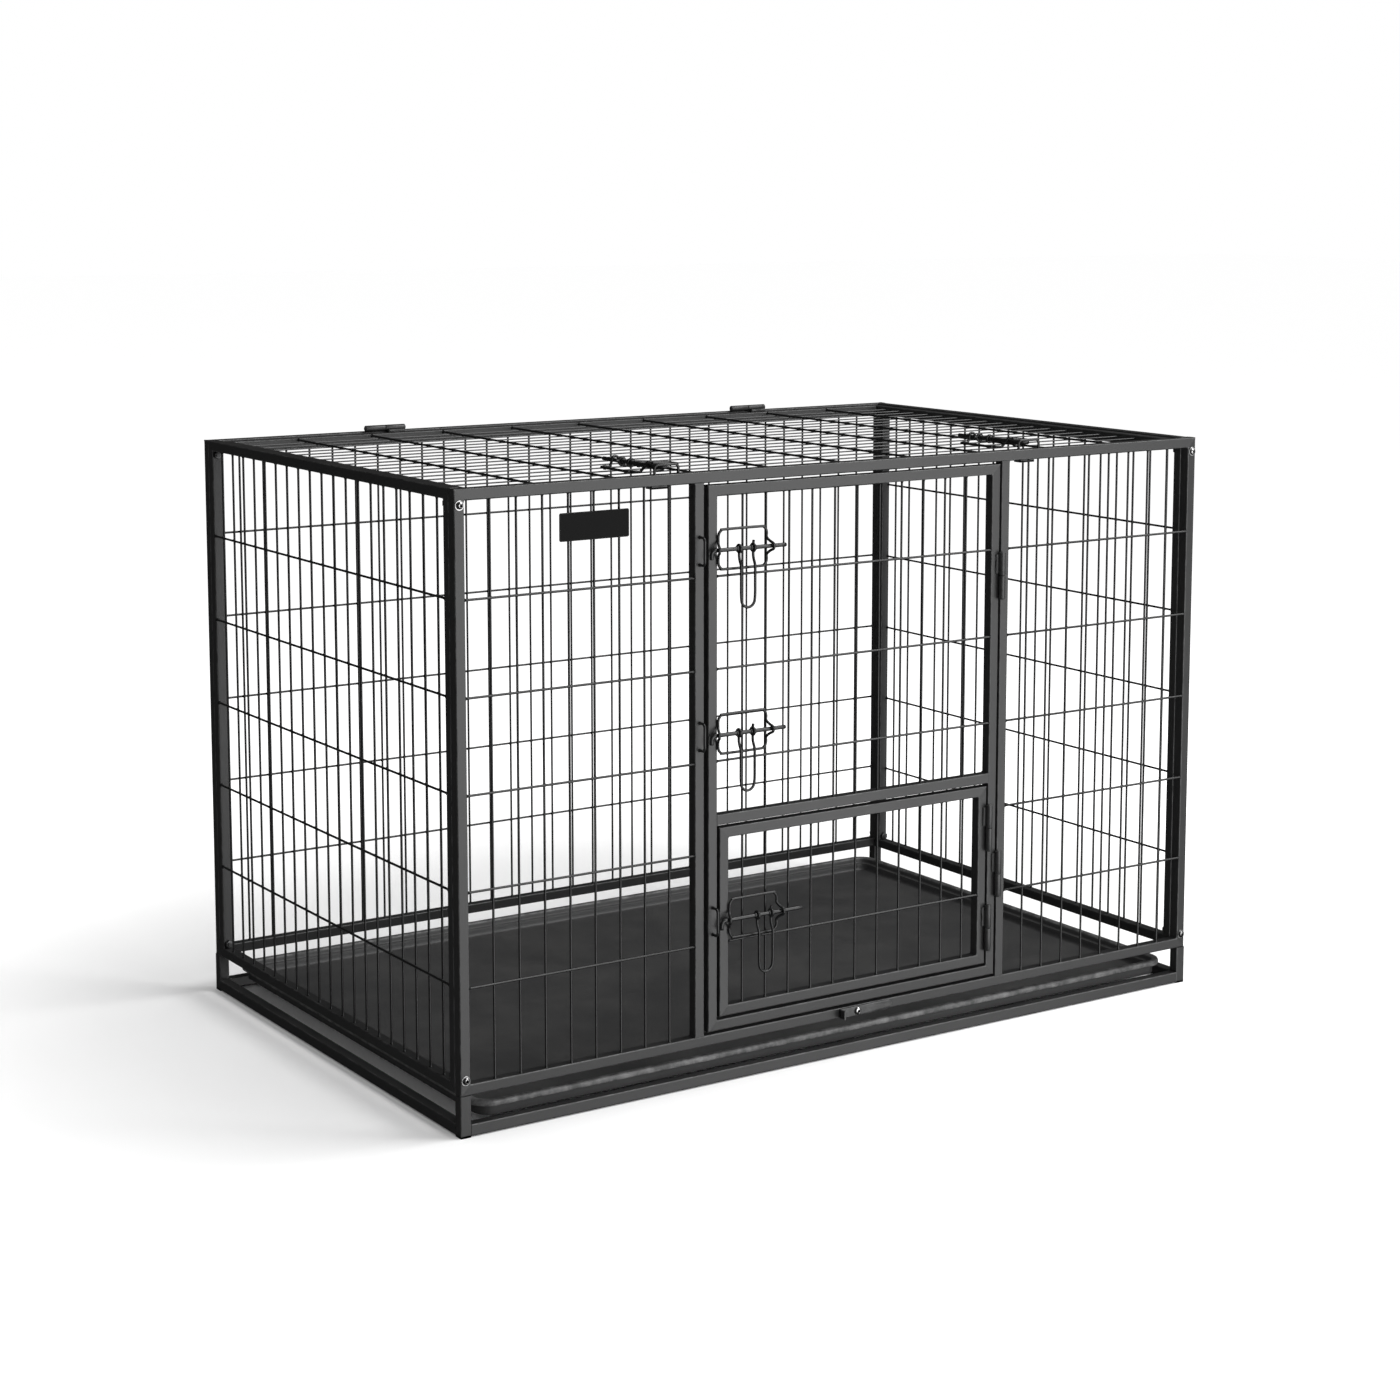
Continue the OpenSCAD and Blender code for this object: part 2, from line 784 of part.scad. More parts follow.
// A loop that hangs from two eyes round the bolt. lie tips it towards the face.
module pull_loop(at, out, lie) {
    half = pull_w / 2;
    r = half - 0.5;
    low = -pull_l + latch_wire / 2 + r;
    translate([at, 0, out]) rotate([lie, 0, 0]) {
        wire(concat([[-half, -eye_r, 0], [-half, low + 6, 0]],
            bend(0, low, 0, r, 180, 360, 8),
            [[half, low + 6, 0], [half, -eye_r, 0]]), false, [0, 0, 1]);
        for (x = [-half, half])
            translate([x, 0, 0]) rotate([0, 90, 0])
                rotate_extrude($fn = round_fn)
                    translate([eye_r, 0]) circle(d = latch_wire, $fn = wire_fn);
    }
}

// Stands a latch on the front face at a height.
module on_front(z) {
    translate([0, 0, z]) rotate([90, 0, 0]) children();
}

// Lays a latch on the lid at a distance from the left wall.
module on_lid(x) {
    translate([x, 0, lid_top]) rotate([0, 0, 90]) children();
}

module main_latch_guides() {
    color(black) home() for (z = main_bolt_z) on_front(z) guide(main_guide_x, bolt_out);
}

module main_latch_keepers() {
    color(black) home()
        for (z = main_bolt_z) on_front(z) keeper(main_keeper_x, bolt_out, 0);
}

module main_bolt(z) {
    on_front(z) slide_bolt(main_tip_x, main_bolt_l, main_pull_x, bolt_out);
}

module main_pull(z) {
    on_front(z) pull_loop(main_pull_x, bolt_out, 0);
}

module upper_bolt() {
    color(black) home() main_bolt(upper_bolt_z);
}

module upper_pull() {
    color(black) home() main_pull(upper_bolt_z);
}

module middle_bolt() {
    color(black) home() main_bolt(middle_bolt_z);
}

module middle_pull() {
    color(black) home() main_pull(middle_bolt_z);
}

module small_latch_guide() {
    color(black) home() on_front(small_bolt_z) guide(small_guide_x, bolt_out);
}

module small_latch_keeper() {
    color(black) home() on_front(small_bolt_z) keeper(small_keeper_x, bolt_out, 0);
}

module small_bolt() {
    color(black) home() on_front(small_bolt_z)
        slide_bolt(small_tip_x, small_bolt_l, small_pull_x, bolt_out);
}

module small_pull() {
    color(black) home() on_front(small_bolt_z) pull_loop(small_pull_x, bolt_out, 0);
}

module lid_latch_guides() {
    color(black) home() for (x = lid_latches) on_lid(x) guide(lid_guide_y, lid_bolt_out);
}

module lid_latch_keepers() {
    color(black) home()
        for (x = lid_latches) on_lid(x) keeper(lid_keeper_y, lid_bolt_out, lid_drop);
}

module lid_bolt(x) {
    on_lid(x) slide_bolt(lid_tip_y, lid_bolt_l, lid_pull_y, lid_bolt_out);
}

module lid_pull(x) {
    on_lid(x) pull_loop(lid_pull_y, lid_bolt_out, pull_lie);
}

module lid_left_bolt() {
    color(black) home() lid_bolt(lid_latches[0]);
}

module lid_left_pull() {
    color(black) home() lid_pull(lid_latches[0]);
}

module lid_right_bolt() {
    color(black) home() lid_bolt(lid_latches[1]);
}

module lid_right_pull() {
    color(black) home() lid_pull(lid_latches[1]);
}

// ---- Fasteners ----

// Button head with a hex socket, head towards -Y, shank from y = 0 to long.
module button_bolt(long) {
    difference() {
        translate([0, -washer_t - head_h, 0]) rotate([-90, 0, 0])
            cylinder(d1 = 0.62 * head_dia, d2 = head_dia, h = head_h, $fn = round_fn);
        translate([0, -washer_t - head_h - 1, 0]) rotate([-90, 0, 0])
            cylinder(d = socket_dia, h = 3, $fn = 6);
    }
    translate([0, -washer_t - 0.5, 0]) rotate([-90, 0, 0])
        cylinder(d = screw_dia, h = long + washer_t + 0.5, $fn = round_fn);
}

module front_bolt_places() {
    for (x = [corner_x, crate_l - corner_x], z = corner_z)
        translate([x, 0, z]) children();
}

module front_corner_bolts() {
    color(zinc) home() front_bolt_places() button_bolt(grip);
}

module back_corner_bolts() {
    color(zinc) home() at_back() front_bolt_places() button_bolt(grip);
}

module washer() {
    rotate([90, 0, 0]) difference() {
        cylinder(d = washer_dia, h = washer_t, $fn = round_fn);
        translate([0, 0, -1])
            cylinder(d = screw_dia + 2 * hole_play, h = washer_t + 2, $fn = round_fn);
    }
}

module corner_washers() {
    color(zinc) home() {
        front_bolt_places() washer();
        at_back() front_bolt_places() washer();
    }
}

module nut() {
    translate([0, tube_d + 2 * seat_gap + tube_w, 0]) rotate([-90, 0, 0]) difference() {
        cylinder(d = nut_dia, h = nut_h, $fn = 6);
        translate([0, 0, -1]) cylinder(d = screw_dia + 0.1, h = nut_h + 2, $fn = round_fn);
    }
}

module corner_nuts() {
    color(zinc) home() {
        front_bolt_places() nut();
        at_back() front_bolt_places() nut();
    }
}

// ---- Tray stop and name plate ----

// A flat lever on the front wall. Level, it frees the tray; hanging, it locks it.
module tray_stop_tab() {
    r = stop_w / 2;
    color(black) home() translate([stop_at, -stop_off - stop_t, stop_z]) difference() {
        union() {
            translate([-stop_short, 0, -r]) cube([stop_short + stop_long, stop_t, stop_w]);
            translate([stop_long, 0, 0]) rotate([-90, 0, 0])
                cylinder(r = r, h = stop_t, $fn = round_fn);
            translate([-stop_short, -stop_lip, -r]) cube([stop_t, stop_lip + stop_t, stop_w]);
        }
        translate([0, -1, 0]) rotate([-90, 0, 0])
            cylinder(d = screw_dia + 2 * pin_play, h = stop_t + 2, $fn = round_fn);
    }
}

// The stop's shoulder bolt, with a spacer against the wall.
module tray_stop_bolt() {
    flange_t = stop_off - 0.2;
    color(zinc) home() translate([stop_at, 0, stop_z]) rotate([90, 0, 0]) {
        translate([0, 0, 0.05]) cylinder(d = 11, h = flange_t, $fn = round_fn);
        cylinder(d = screw_dia, h = stop_off + stop_t + 0.5, $fn = round_fn);
        translate([0, 0, stop_off + stop_t + 0.2]) difference() {
            cylinder(d1 = head_dia, d2 = 0.7 * head_dia, h = 3, $fn = round_fn);
            translate([0, 0, 1]) cylinder(d = socket_dia, h = 3, $fn = 6);
        }
    }
}

// A blank plate on the left front mesh, with two cleats between the wires behind it.
module name_plate() {
    low = crate_h - plate_down;
    front = -0.9;
    cleat = 8;
    cleat_deep = wire_dia + 4;
    slot_dia = wire_dia + 0.4;
    color(dark) home() difference() {
        union() {
            translate([plate_at, front, low]) cube([plate_l, plate_t, plate_h]);
            for (x = [0.25, 0.75])
                translate([plate_at + x * plate_l - cleat / 2, front, low + (plate_h - cleat) / 2])
                    cube([cleat, cleat_deep, cleat]);
        }
        for (x = spread(tube_w, post_at, wire_pitch, least_edge))
            translate([x, upright_in, 0]) cylinder(d = slot_dia, h = crate_h, $fn = wire_fn);
        for (z = wall_rows)
            translate([0, row_in + 0.1, z]) rotate([0, 90, 0])
                cylinder(d = slot_dia, h = post_at, $fn = wire_fn);
    }
}

foot_plugs();
base_posts();
base_rails();
tray_rest_bars();
base_studs();
tray();
left_panel_frame();
left_panel_mesh();
right_panel_frame();
right_panel_mesh();
back_panel_frame();
back_panel_mesh();
front_panel_frame();
front_door_posts();
front_left_mesh();
front_right_mesh();
main_door_frame();
main_door_mesh();
small_door_frame();
small_door_mesh();
lid_frame();
lid_mesh();
lid_rests();
main_hinge_post_halves();
main_hinge_door_halves();
main_hinge_pins();
small_hinge_fixed_halves();
small_hinge_door_halves();
small_hinge_pins();
lid_hinge_wall_halves();
lid_hinge_lid_halves();
lid_hinge_pins();
main_latch_guides();
main_latch_keepers();
upper_bolt();
upper_pull();
middle_bolt();
middle_pull();
small_latch_guide();
small_latch_keeper();
small_bolt();
small_pull();
lid_latch_guides();
lid_latch_keepers();
lid_left_bolt();
lid_left_pull();
lid_right_bolt();
lid_right_pull();
front_corner_bolts();
back_corner_bolts();
corner_washers();
corner_nuts();
tray_stop_tab();
tray_stop_bolt();
name_plate();
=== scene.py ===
# %% [markdown]
# # A wire dog crate
# The crate is square steel tube, welded into frames, with round wire welded inside each frame.
# The steel is powder coated black, and only the bolts, nuts, studs and tray screw are bare zinc.
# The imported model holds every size, so this script reads places from it and dresses them:
# tubes get rounded edges and weld beads, wires get weld spots, and each finish gets its grain.

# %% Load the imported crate
import json
import math

import bpy
import numpy as np
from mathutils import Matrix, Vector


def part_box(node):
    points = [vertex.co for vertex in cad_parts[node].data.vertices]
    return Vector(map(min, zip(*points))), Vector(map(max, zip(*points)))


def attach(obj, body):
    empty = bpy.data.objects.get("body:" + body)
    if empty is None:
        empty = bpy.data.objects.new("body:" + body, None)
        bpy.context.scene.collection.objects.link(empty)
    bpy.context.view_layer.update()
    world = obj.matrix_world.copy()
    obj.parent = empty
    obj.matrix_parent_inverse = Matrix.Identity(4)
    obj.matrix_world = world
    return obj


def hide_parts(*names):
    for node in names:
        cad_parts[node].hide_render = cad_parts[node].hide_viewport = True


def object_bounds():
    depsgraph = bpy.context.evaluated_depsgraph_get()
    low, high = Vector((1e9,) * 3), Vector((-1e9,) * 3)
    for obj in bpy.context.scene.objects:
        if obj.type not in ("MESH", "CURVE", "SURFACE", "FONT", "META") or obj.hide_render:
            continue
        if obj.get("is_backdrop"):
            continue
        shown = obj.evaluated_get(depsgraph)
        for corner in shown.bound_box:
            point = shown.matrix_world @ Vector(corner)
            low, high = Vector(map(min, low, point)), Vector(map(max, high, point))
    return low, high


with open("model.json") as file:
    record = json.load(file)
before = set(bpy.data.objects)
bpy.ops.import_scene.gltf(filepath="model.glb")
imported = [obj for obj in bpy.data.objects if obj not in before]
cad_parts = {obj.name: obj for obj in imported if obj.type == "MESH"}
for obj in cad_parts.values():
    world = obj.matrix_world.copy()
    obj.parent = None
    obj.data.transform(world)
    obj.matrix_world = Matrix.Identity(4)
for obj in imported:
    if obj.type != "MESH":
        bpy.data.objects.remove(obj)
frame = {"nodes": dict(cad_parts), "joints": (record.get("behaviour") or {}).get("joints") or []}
cad_box = [list(corner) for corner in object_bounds()]
MM = 0.001
X, Y, Z = np.eye(3)
crate = {name: np.array(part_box(name)) for name in frame["nodes"]}
pivots = {j["name"]: np.array(j["pos_m"]) for j in frame["joints"] if j.get("pos_m")}
print("nodes:", len(crate), "box:", np.round(cad_box, 3).tolist())

# %% [markdown]
# ## Flat sheets to build on
# A wall is easiest to draw lying flat: u runs along it, v up it, and n inwards from its face.
# A place holds the corner where u, v and n are zero and the three directions in the room,
# so one multiplication stands the finished wall up.

# %% The five walls and their places
front_low, front_high = crate["front_panel_frame"]
back_high = crate["back_panel_frame"][1]
CORNER = np.array([front_low[0], front_low[1], 0.0])
LENGTH = front_high[0] - front_low[0]
DEPTH = back_high[1] - front_low[1]
LID_TOP = crate["lid_frame"][1][2]


def place(at, *directions):
    """A flat sheet's place: where its zero is, and the directions of its three axes."""
    return np.asarray(at, float), np.array(directions, float)


FRONT = place(CORNER, X, Z, Y)
BACK = place(CORNER + DEPTH * Y, X, Z, -Y)
LEFT = place(CORNER, Y, Z, X)
RIGHT = place(CORNER + LENGTH * X, Y, Z, -X)
LID = place(CORNER + LID_TOP * Z, X, Y, -Z)


def flat_box(node, sheet):
    """Lowest and highest corner of a node, measured on a sheet."""
    at, turn = sheet
    corners = (crate[node] - at) @ turn.T
    return np.array([corners.min(0), corners.max(0)])


def solid_boxes(node):
    """Boxes of the separate solids in a node, in order of their lowest corners. Corners that
    coincide are one point, and each triangle's points take the lowest label among them until
    nothing changes, so every solid ends with one label of its own."""
    mesh = frame["nodes"][node].data
    points = np.empty(len(mesh.vertices) * 3)
    mesh.vertices.foreach_get("co", points)
    corner = np.empty(len(mesh.loops), int)
    mesh.loops.foreach_get("vertex_index", corner)
    unique, same = np.unique(points.reshape(-1, 3).round(6), axis=0, return_inverse=True)
    triangles = same.ravel()[corner].reshape(-1, 3)
    label = np.arange(len(unique))
    while True:
        before = label.copy()
        lowest = label[triangles].min(1)
        np.minimum.at(label, triangles.ravel(), np.repeat(lowest, 3))
        label = label[label]
        if (label == before).all():
            break
    boxes = [[unique[label == k].min(0), unique[label == k].max(0)] for k in np.unique(label)]
    return np.array(sorted(boxes, key=lambda b: tuple(b[0].round(4))))


print("wall:", round(LENGTH, 3), "x", round(DEPTH, 3), "corner bolts:",
      len(solid_boxes("front_corner_bolts")))

# %% [markdown]
# ## One kind of surface
# Nearly every piece here is a skin over rings: a tube is rings of its section, a wire is rings
# of a circle, a bolt is rings about its axis, and the tray is rings of one round-cornered
# outline. So one function makes the faces, and the rest of the work is in placing rings.
# Each point also carries how much it rubs against things, which the paint reads later. The
# same value is partly painted highlight: it makes tube corners lighter, and its zero leaves screw
# sockets dark as painted shade.

# %% Skins, joins and places
def skin(rings, worn_and_lit=0.0, loop=False):
    """Faces over rings of points. rings[k, i, j] is point j of ring i of copy k. Quad (i, j)
    joins points j and j + 1 of ring i to those of ring i + 1. A loop's last ring joins its
    first, and otherwise the end rings are closed by a cap."""
    rings = rings if rings.ndim == 4 else rings[None]
    copies, count, around = rings.shape[:3]
    start = (np.arange(copies) * count * around)[:, None, None]
    i = np.arange(count if loop else count - 1)[None, :, None]
    j = np.arange(around)[None, None, :]
    here, there = start + i * around, start + (i + 1) % count * around
    after = (j + 1) % around
    quads = np.stack([here + j, here + after, there + after, there + j], -1).reshape(-1, 4)
    faces = [quads]
    if not loop:
        ring = np.arange(around)
        faces += [start[:, :, 0] + ring[::-1], start[:, :, 0] + (count - 1) * around + ring]
    points = rings.reshape(-1, 3)
    rubbed_and_lit = np.broadcast_to(worn_and_lit, rings.shape[:3]).reshape(-1)
    return outward(points, faces, rubbed_and_lit)


def outward(points, faces, rubbed_and_lit):
    """Turns all the faces round if they enclose a negative volume. The volume is a sixth of the
    sum, over faces, of the first corner dotted with the cross products of neighbouring ones."""
    volume = 0.0
    for group in faces:
        p = points[group]
        crossed = np.cross(p, np.roll(p, -1, axis=1)).sum(1)
        volume += (p[:, 0] * crossed).sum() / 6
    if volume < 0:
        faces = [group[:, ::-1] for group in faces]
    return points, faces, rubbed_and_lit


def stand(shape, sheet):
    """A shape drawn on a sheet, stood in the room."""
    points, faces, rubbed_and_lit = shape
    at, turn = sheet
    return outward(at + points @ turn, faces, rubbed_and_lit)


def join(shapes):
    """Several shapes as one."""
    points, faces, rubbed_and_lit, total = [], [], [], 0
    for p, groups, r in shapes:
        points.append(p)
        rubbed_and_lit.append(r)
        faces += [group + total for group in groups]
        total += len(p)
    return np.concatenate(points), faces, np.concatenate(rubbed_and_lit)


# %% [markdown]
# ## From points to a piece
# A piece is a mesh with its finish, the body that it moves with, and the plain solids that it
# stands for. Faces shade smooth, and an edge sharper than SHARP keeps its crease.

# %% Make a piece
SHARP = math.radians(38)
made = []


def piece(name, shapes, finish, slot, body, *nodes):
    """Puts joined shapes in a mesh as whole arrays and rides it on its body."""
    points, faces, rubbed_and_lit = join(shapes)
    mesh = bpy.data.meshes.new(name)
    sizes = np.concatenate([np.full(len(g), g.shape[1]) for g in faces])
    corner = np.concatenate([g.ravel() for g in faces])
    mesh.vertices.add(len(points))
    mesh.vertices.foreach_set("co", points.astype(np.float32).ravel())
    mesh.loops.add(len(corner))
    mesh.loops.foreach_set("vertex_index", corner.astype(np.int32))
    mesh.polygons.add(len(sizes))
    mesh.polygons.foreach_set("loop_start", (np.cumsum(sizes) - sizes).astype(np.int32))
    mesh.polygons.foreach_set("use_smooth", np.ones(len(sizes), bool))
    mesh.update(calc_edges=True)
    mesh.set_sharp_from_angle(angle=SHARP)
    mesh.attributes.new("rubbed_and_lit", "FLOAT", "POINT").data.foreach_set(
        "value", rubbed_and_lit.astype(np.float32))
    mesh.materials.append(finish)
    thing = bpy.data.objects.new(name, mesh)
    bpy.context.scene.collection.objects.link(thing)
    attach(thing, body)
    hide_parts(*nodes)
    made.append((name, int((sizes - 2).sum())))
    return thing


# %% [markdown]
# ## Finishes
# Powder coat is a melted plastic skin, so it is satin, it has a fine orange peel, and it thins
# and polishes on the edges. Two groups carry what several finishes share: one gives the skin's
# unevenness, and the other gives rubbed edges, partly painted highlight, and settled dust. The
# shaders stay outside.

# %% A small helper for node trees
def link(tree, source, target):
    tree.links.new(source, target)


def node(tree, kind, **values):
    """A new node. Values with a capital letter set input sockets, and others set properties."""
    made_node = tree.nodes.new(kind)
    for key, value in values.items():
        if key[0].isupper():
            made_node.inputs[key.replace("_", " ")].default_value = value
        else:
            setattr(made_node, key, value)
    return made_node


def shared_group(name, inputs, outputs):
    """An empty node group with named sockets. Vectors are listed as None."""
    group = bpy.data.node_groups.new(name, "ShaderNodeTree")
    for socket, value in inputs.items():
        kind = "NodeSocketVector" if value is None else "NodeSocketFloat"
        made_socket = group.interface.new_socket(socket, in_out="INPUT", socket_type=kind)
        if value is not None:
            made_socket.default_value = value
    for socket in outputs:
        group.interface.new_socket(socket, in_out="OUTPUT", socket_type="NodeSocketFloat")
    return group, group.nodes.new("NodeGroupInput"), group.nodes.new("NodeGroupOutput")


# %% Group: the uneven skin of a coat or a moulding
def build_skin_group():
    """Height is coarse noise plus a share of fine noise. Cloud is slow noise, for tone."""
    group, given, out = shared_group(
        "Uneven skin", {"Place": None, "Peel": 420.0, "Grain": 1600.0, "Grain share": 0.35},
        ["Height", "Cloud"])
    peel = node(group, "ShaderNodeTexNoise", Detail=2.0, Roughness=0.5)
    grain = node(group, "ShaderNodeTexNoise", Detail=3.0, Roughness=0.6)
    cloud = node(group, "ShaderNodeTexNoise", Scale=7.0, Detail=4.0, Roughness=0.62)
    share = node(group, "ShaderNodeMath", operation="MULTIPLY")
    total = node(group, "ShaderNodeMath", operation="ADD")
    for texture in (peel, grain, cloud):
        link(group, given.outputs["Place"], texture.inputs["Vector"])
    link(group, given.outputs["Peel"], peel.inputs["Scale"])
    link(group, given.outputs["Grain"], grain.inputs["Scale"])
    link(group, grain.outputs["Fac"], share.inputs[0])
    link(group, given.outputs["Grain share"], share.inputs[1])
    link(group, peel.outputs["Fac"], total.inputs[0])
    link(group, share.outputs[0], total.inputs[1])
    link(group, total.outputs[0], out.inputs["Height"])
    link(group, cloud.outputs["Fac"], out.inputs["Cloud"])
    return group


# %% Group: rubbed edges, partly painted highlight, and settled dust
def build_use_and_light_group():
    """Rubbed and lit is the piece's own wear value broken up by noise: partly wear, and partly
    painted highlight on tube corners and painted shade in screw sockets. Dust is what lies on
    faces that look up: the height of the normal, above a threshold, times patchy noise. Scuff is
    long thin noise, kept where it is highest."""
    group, given, out = shared_group(
        "Signs of use and painted light", {"Place": None, "Edge": 0.8, "Dust": 0.25}, ["Rubbed", "Dust", "Scuff"])
    attribute = node(group, "ShaderNodeAttribute", attribute_name="rubbed_and_lit")
    breakup = node(group, "ShaderNodeTexNoise", Scale=60.0, Detail=5.0, Roughness=0.7)
    patch = node(group, "ShaderNodeMapRange", From_Min=0.38, From_Max=0.68)
    edge = node(group, "ShaderNodeMath", operation="MULTIPLY")
    rubbed_and_lit = node(group, "ShaderNodeMath", operation="MULTIPLY")
    geometry = node(group, "ShaderNodeNewGeometry")
    split = node(group, "ShaderNodeSeparateXYZ")
    up = node(group, "ShaderNodeMapRange", From_Min=0.55, From_Max=0.95)
    settle = node(group, "ShaderNodeTexNoise", Scale=11.0, Detail=6.0, Roughness=0.66)
    drift = node(group, "ShaderNodeMapRange", From_Min=0.4, From_Max=0.72)
    lying = node(group, "ShaderNodeMath", operation="MULTIPLY")
    dust = node(group, "ShaderNodeMath", operation="MULTIPLY")
    stretch = node(group, "ShaderNodeMapping", Scale=(26.0, 340.0, 340.0))
    scratch = node(group, "ShaderNodeTexNoise", Scale=1.0, Detail=2.0, Roughness=0.5)
    scuff = node(group, "ShaderNodeMapRange", From_Min=0.66, From_Max=0.76)
    for target in (breakup, settle, stretch):
        link(group, given.outputs["Place"], target.inputs["Vector"])
    link(group, breakup.outputs["Fac"], patch.inputs["Value"])
    link(group, attribute.outputs["Fac"], edge.inputs[0])
    link(group, patch.outputs["Result"], edge.inputs[1])
    link(group, edge.outputs[0], rubbed_and_lit.inputs[0])
    link(group, given.outputs["Edge"], rubbed_and_lit.inputs[1])
    link(group, geometry.outputs["Normal"], split.inputs[0])
    link(group, split.outputs["Z"], up.inputs["Value"])
    link(group, settle.outputs["Fac"], drift.inputs["Value"])
    link(group, up.outputs["Result"], lying.inputs[0])
    link(group, drift.outputs["Result"], lying.inputs[1])
    link(group, lying.outputs[0], dust.inputs[0])
    link(group, given.outputs["Dust"], dust.inputs[1])
    link(group, stretch.outputs["Vector"], scratch.inputs["Vector"])
    link(group, scratch.outputs["Fac"], scuff.inputs["Value"])
    link(group, rubbed_and_lit.outputs[0], out.inputs["Rubbed"])
    link(group, dust.outputs[0], out.inputs["Dust"])
    link(group, scuff.outputs["Result"], out.inputs["Scuff"])
    return group


SKIN_GROUP = build_skin_group()
USE_AND_LIGHT_GROUP = build_use_and_light_group()

# %% [markdown]
# Every finish is the same small tree with its own values. Two tones follow the slow cloud,
# rubbed edges, which are partly painted highlight, and dust are mixed over them, roughness
# follows the same masks, and the skin's height goes through a bump. Values that don't change
# over the surface stay on the shader.

# %% Build a finish
def grey(value, blue=0.0):
    """A nearly neutral colour, with its blue raised a little."""
    return (value, value * (1 + blue / 2), value * (1 + blue), 1.0)


DUST_TONE = (0.16, 0.155, 0.145, 1.0)
DUST_ROUGH = 0.85


def mixed(tree, factor, low, high):
    """A colour mix of two colours or sockets, driven by a mask."""
    mix = node(tree, "ShaderNodeMix", data_type="RGBA")
    link(tree, factor, mix.inputs["Factor"])
    colours = [s for s in mix.inputs if s.type == "RGBA"]
    for source, target in zip((low, high), colours):
        if isinstance(source, tuple):
            target.default_value = source
        else:
            link(tree, source, target)
    return [s for s in mix.outputs if s.type == "RGBA"][0]


def finish(name, dark, light, rubbed_and_lit, rough=(0.4, 0.5), rubbed_rough=0.28, metal=0.0,
           gloss_level=0.5, bump=0.1, height=0.3, edge=0.8, dust=0.2, scuffs=0.0, **grain):
    """A worn finish: tone by cloud, then rubbed edges, partly painted highlight, scuffs and dust,
    with matching gloss.
    height is the skin's own relief in mm, and grain sets the skin group's scales."""
    material = bpy.data.materials.new(name)
    material.use_nodes = True
    tree = material.node_tree
    shader = tree.nodes["Principled BSDF"]
    shader.inputs["Metallic"].default_value = metal
    shader.inputs["Specular IOR Level"].default_value = gloss_level
    place_in = node(tree, "ShaderNodeTexCoord").outputs["Object"]
    skin_node = node(tree, "ShaderNodeGroup", node_tree=SKIN_GROUP, **grain)
    use_and_light_node = node(tree, "ShaderNodeGroup", node_tree=USE_AND_LIGHT_GROUP, Edge=edge, Dust=dust)
    link(tree, place_in, skin_node.inputs["Place"])
    link(tree, place_in, use_and_light_node.inputs["Place"])
    tone = mixed(tree, skin_node.outputs["Cloud"], dark, light)
    scuffed = node(tree, "ShaderNodeMath", operation="MULTIPLY")
    scuffed.inputs[1].default_value = scuffs
    link(tree, use_and_light_node.outputs["Scuff"], scuffed.inputs[0])
    tone = mixed(tree, scuffed.outputs[0], tone, rubbed_and_lit)
    tone = mixed(tree, use_and_light_node.outputs["Rubbed"], tone, rubbed_and_lit)
    tone = mixed(tree, use_and_light_node.outputs["Dust"], tone, DUST_TONE)
    link(tree, tone, shader.inputs["Base Color"])
    gloss = node(tree, "ShaderNodeMapRange", To_Min=rough[0], To_Max=rough[1])
    polish = node(tree, "ShaderNodeMix")
    powder = node(tree, "ShaderNodeMix", B=DUST_ROUGH)
    link(tree, skin_node.outputs["Cloud"], gloss.inputs["Value"])
    link(tree, use_and_light_node.outputs["Rubbed"], polish.inputs["Factor"])
    link(tree, gloss.outputs["Result"], polish.inputs["A"])
    polish.inputs["B"].default_value = rubbed_rough
    link(tree, use_and_light_node.outputs["Dust"], powder.inputs["Factor"])
    link(tree, polish.outputs["Result"], powder.inputs["A"])
    link(tree, powder.outputs["Result"], shader.inputs["Roughness"])
    bumped = node(tree, "ShaderNodeBump", Strength=bump, Distance=height * MM)
    link(tree, skin_node.outputs["Height"], bumped.inputs["Height"])
    link(tree, bumped.outputs["Normal"], shader.inputs["Normal"])
    return material


# %% The crate's finishes
# The tube coat's rubbed colour lies on the round corners: partly wear, partly painted highlight.
TUBE_PAINT = finish(
    "Satin black powder coat", grey(0.010, 0.03), grey(0.016, 0.03), grey(0.07, 0.03),
    rough=(0.38, 0.5), bump=0.22, height=0.25, dust=0.06, scuffs=0.05)
# The wires have the same powder coat as the tubes; their darker colour is painted shade.
DARKENED_WIRE_PAINT = finish(
    "Black coat on wire, darkened as painted shade", grey(0.005, 0.06), grey(0.009, 0.06), grey(0.05, 0.03),
    rough=(0.24, 0.34), gloss_level=0.36, bump=0.14, height=0.16, dust=0.03, edge=0.5)
TRAY_PLASTIC = finish(
    "Textured dark plastic", grey(0.026, 0.02), grey(0.038, 0.02), grey(0.13),
    rough=(0.46, 0.6), rubbed_rough=0.42, bump=0.4, height=0.18, edge=1.0, dust=0.12,
    scuffs=0.16, Peel=260.0, Grain=900.0, Grain_share=0.8)
PLUG_PLASTIC = finish(
    "Black plastic plugs", grey(0.012), grey(0.02), grey(0.05),
    rough=(0.45, 0.6), bump=0.3, height=0.3, dust=0.1, Peel=300.0)
# The zinc's two dark tones are painted shade: they show where the wear value is low, as in screw
# sockets, and the light colour shows elsewhere.
ZINC = finish(
    "Bright zinc plate", grey(0.05, 0.03), grey(0.09, 0.02), grey(0.4),
    rough=(0.3, 0.42), rubbed_rough=0.24, metal=1.0, bump=0.12, height=0.12, dust=0.02,
    edge=2.5, Peel=700.0, Grain=2600.0)
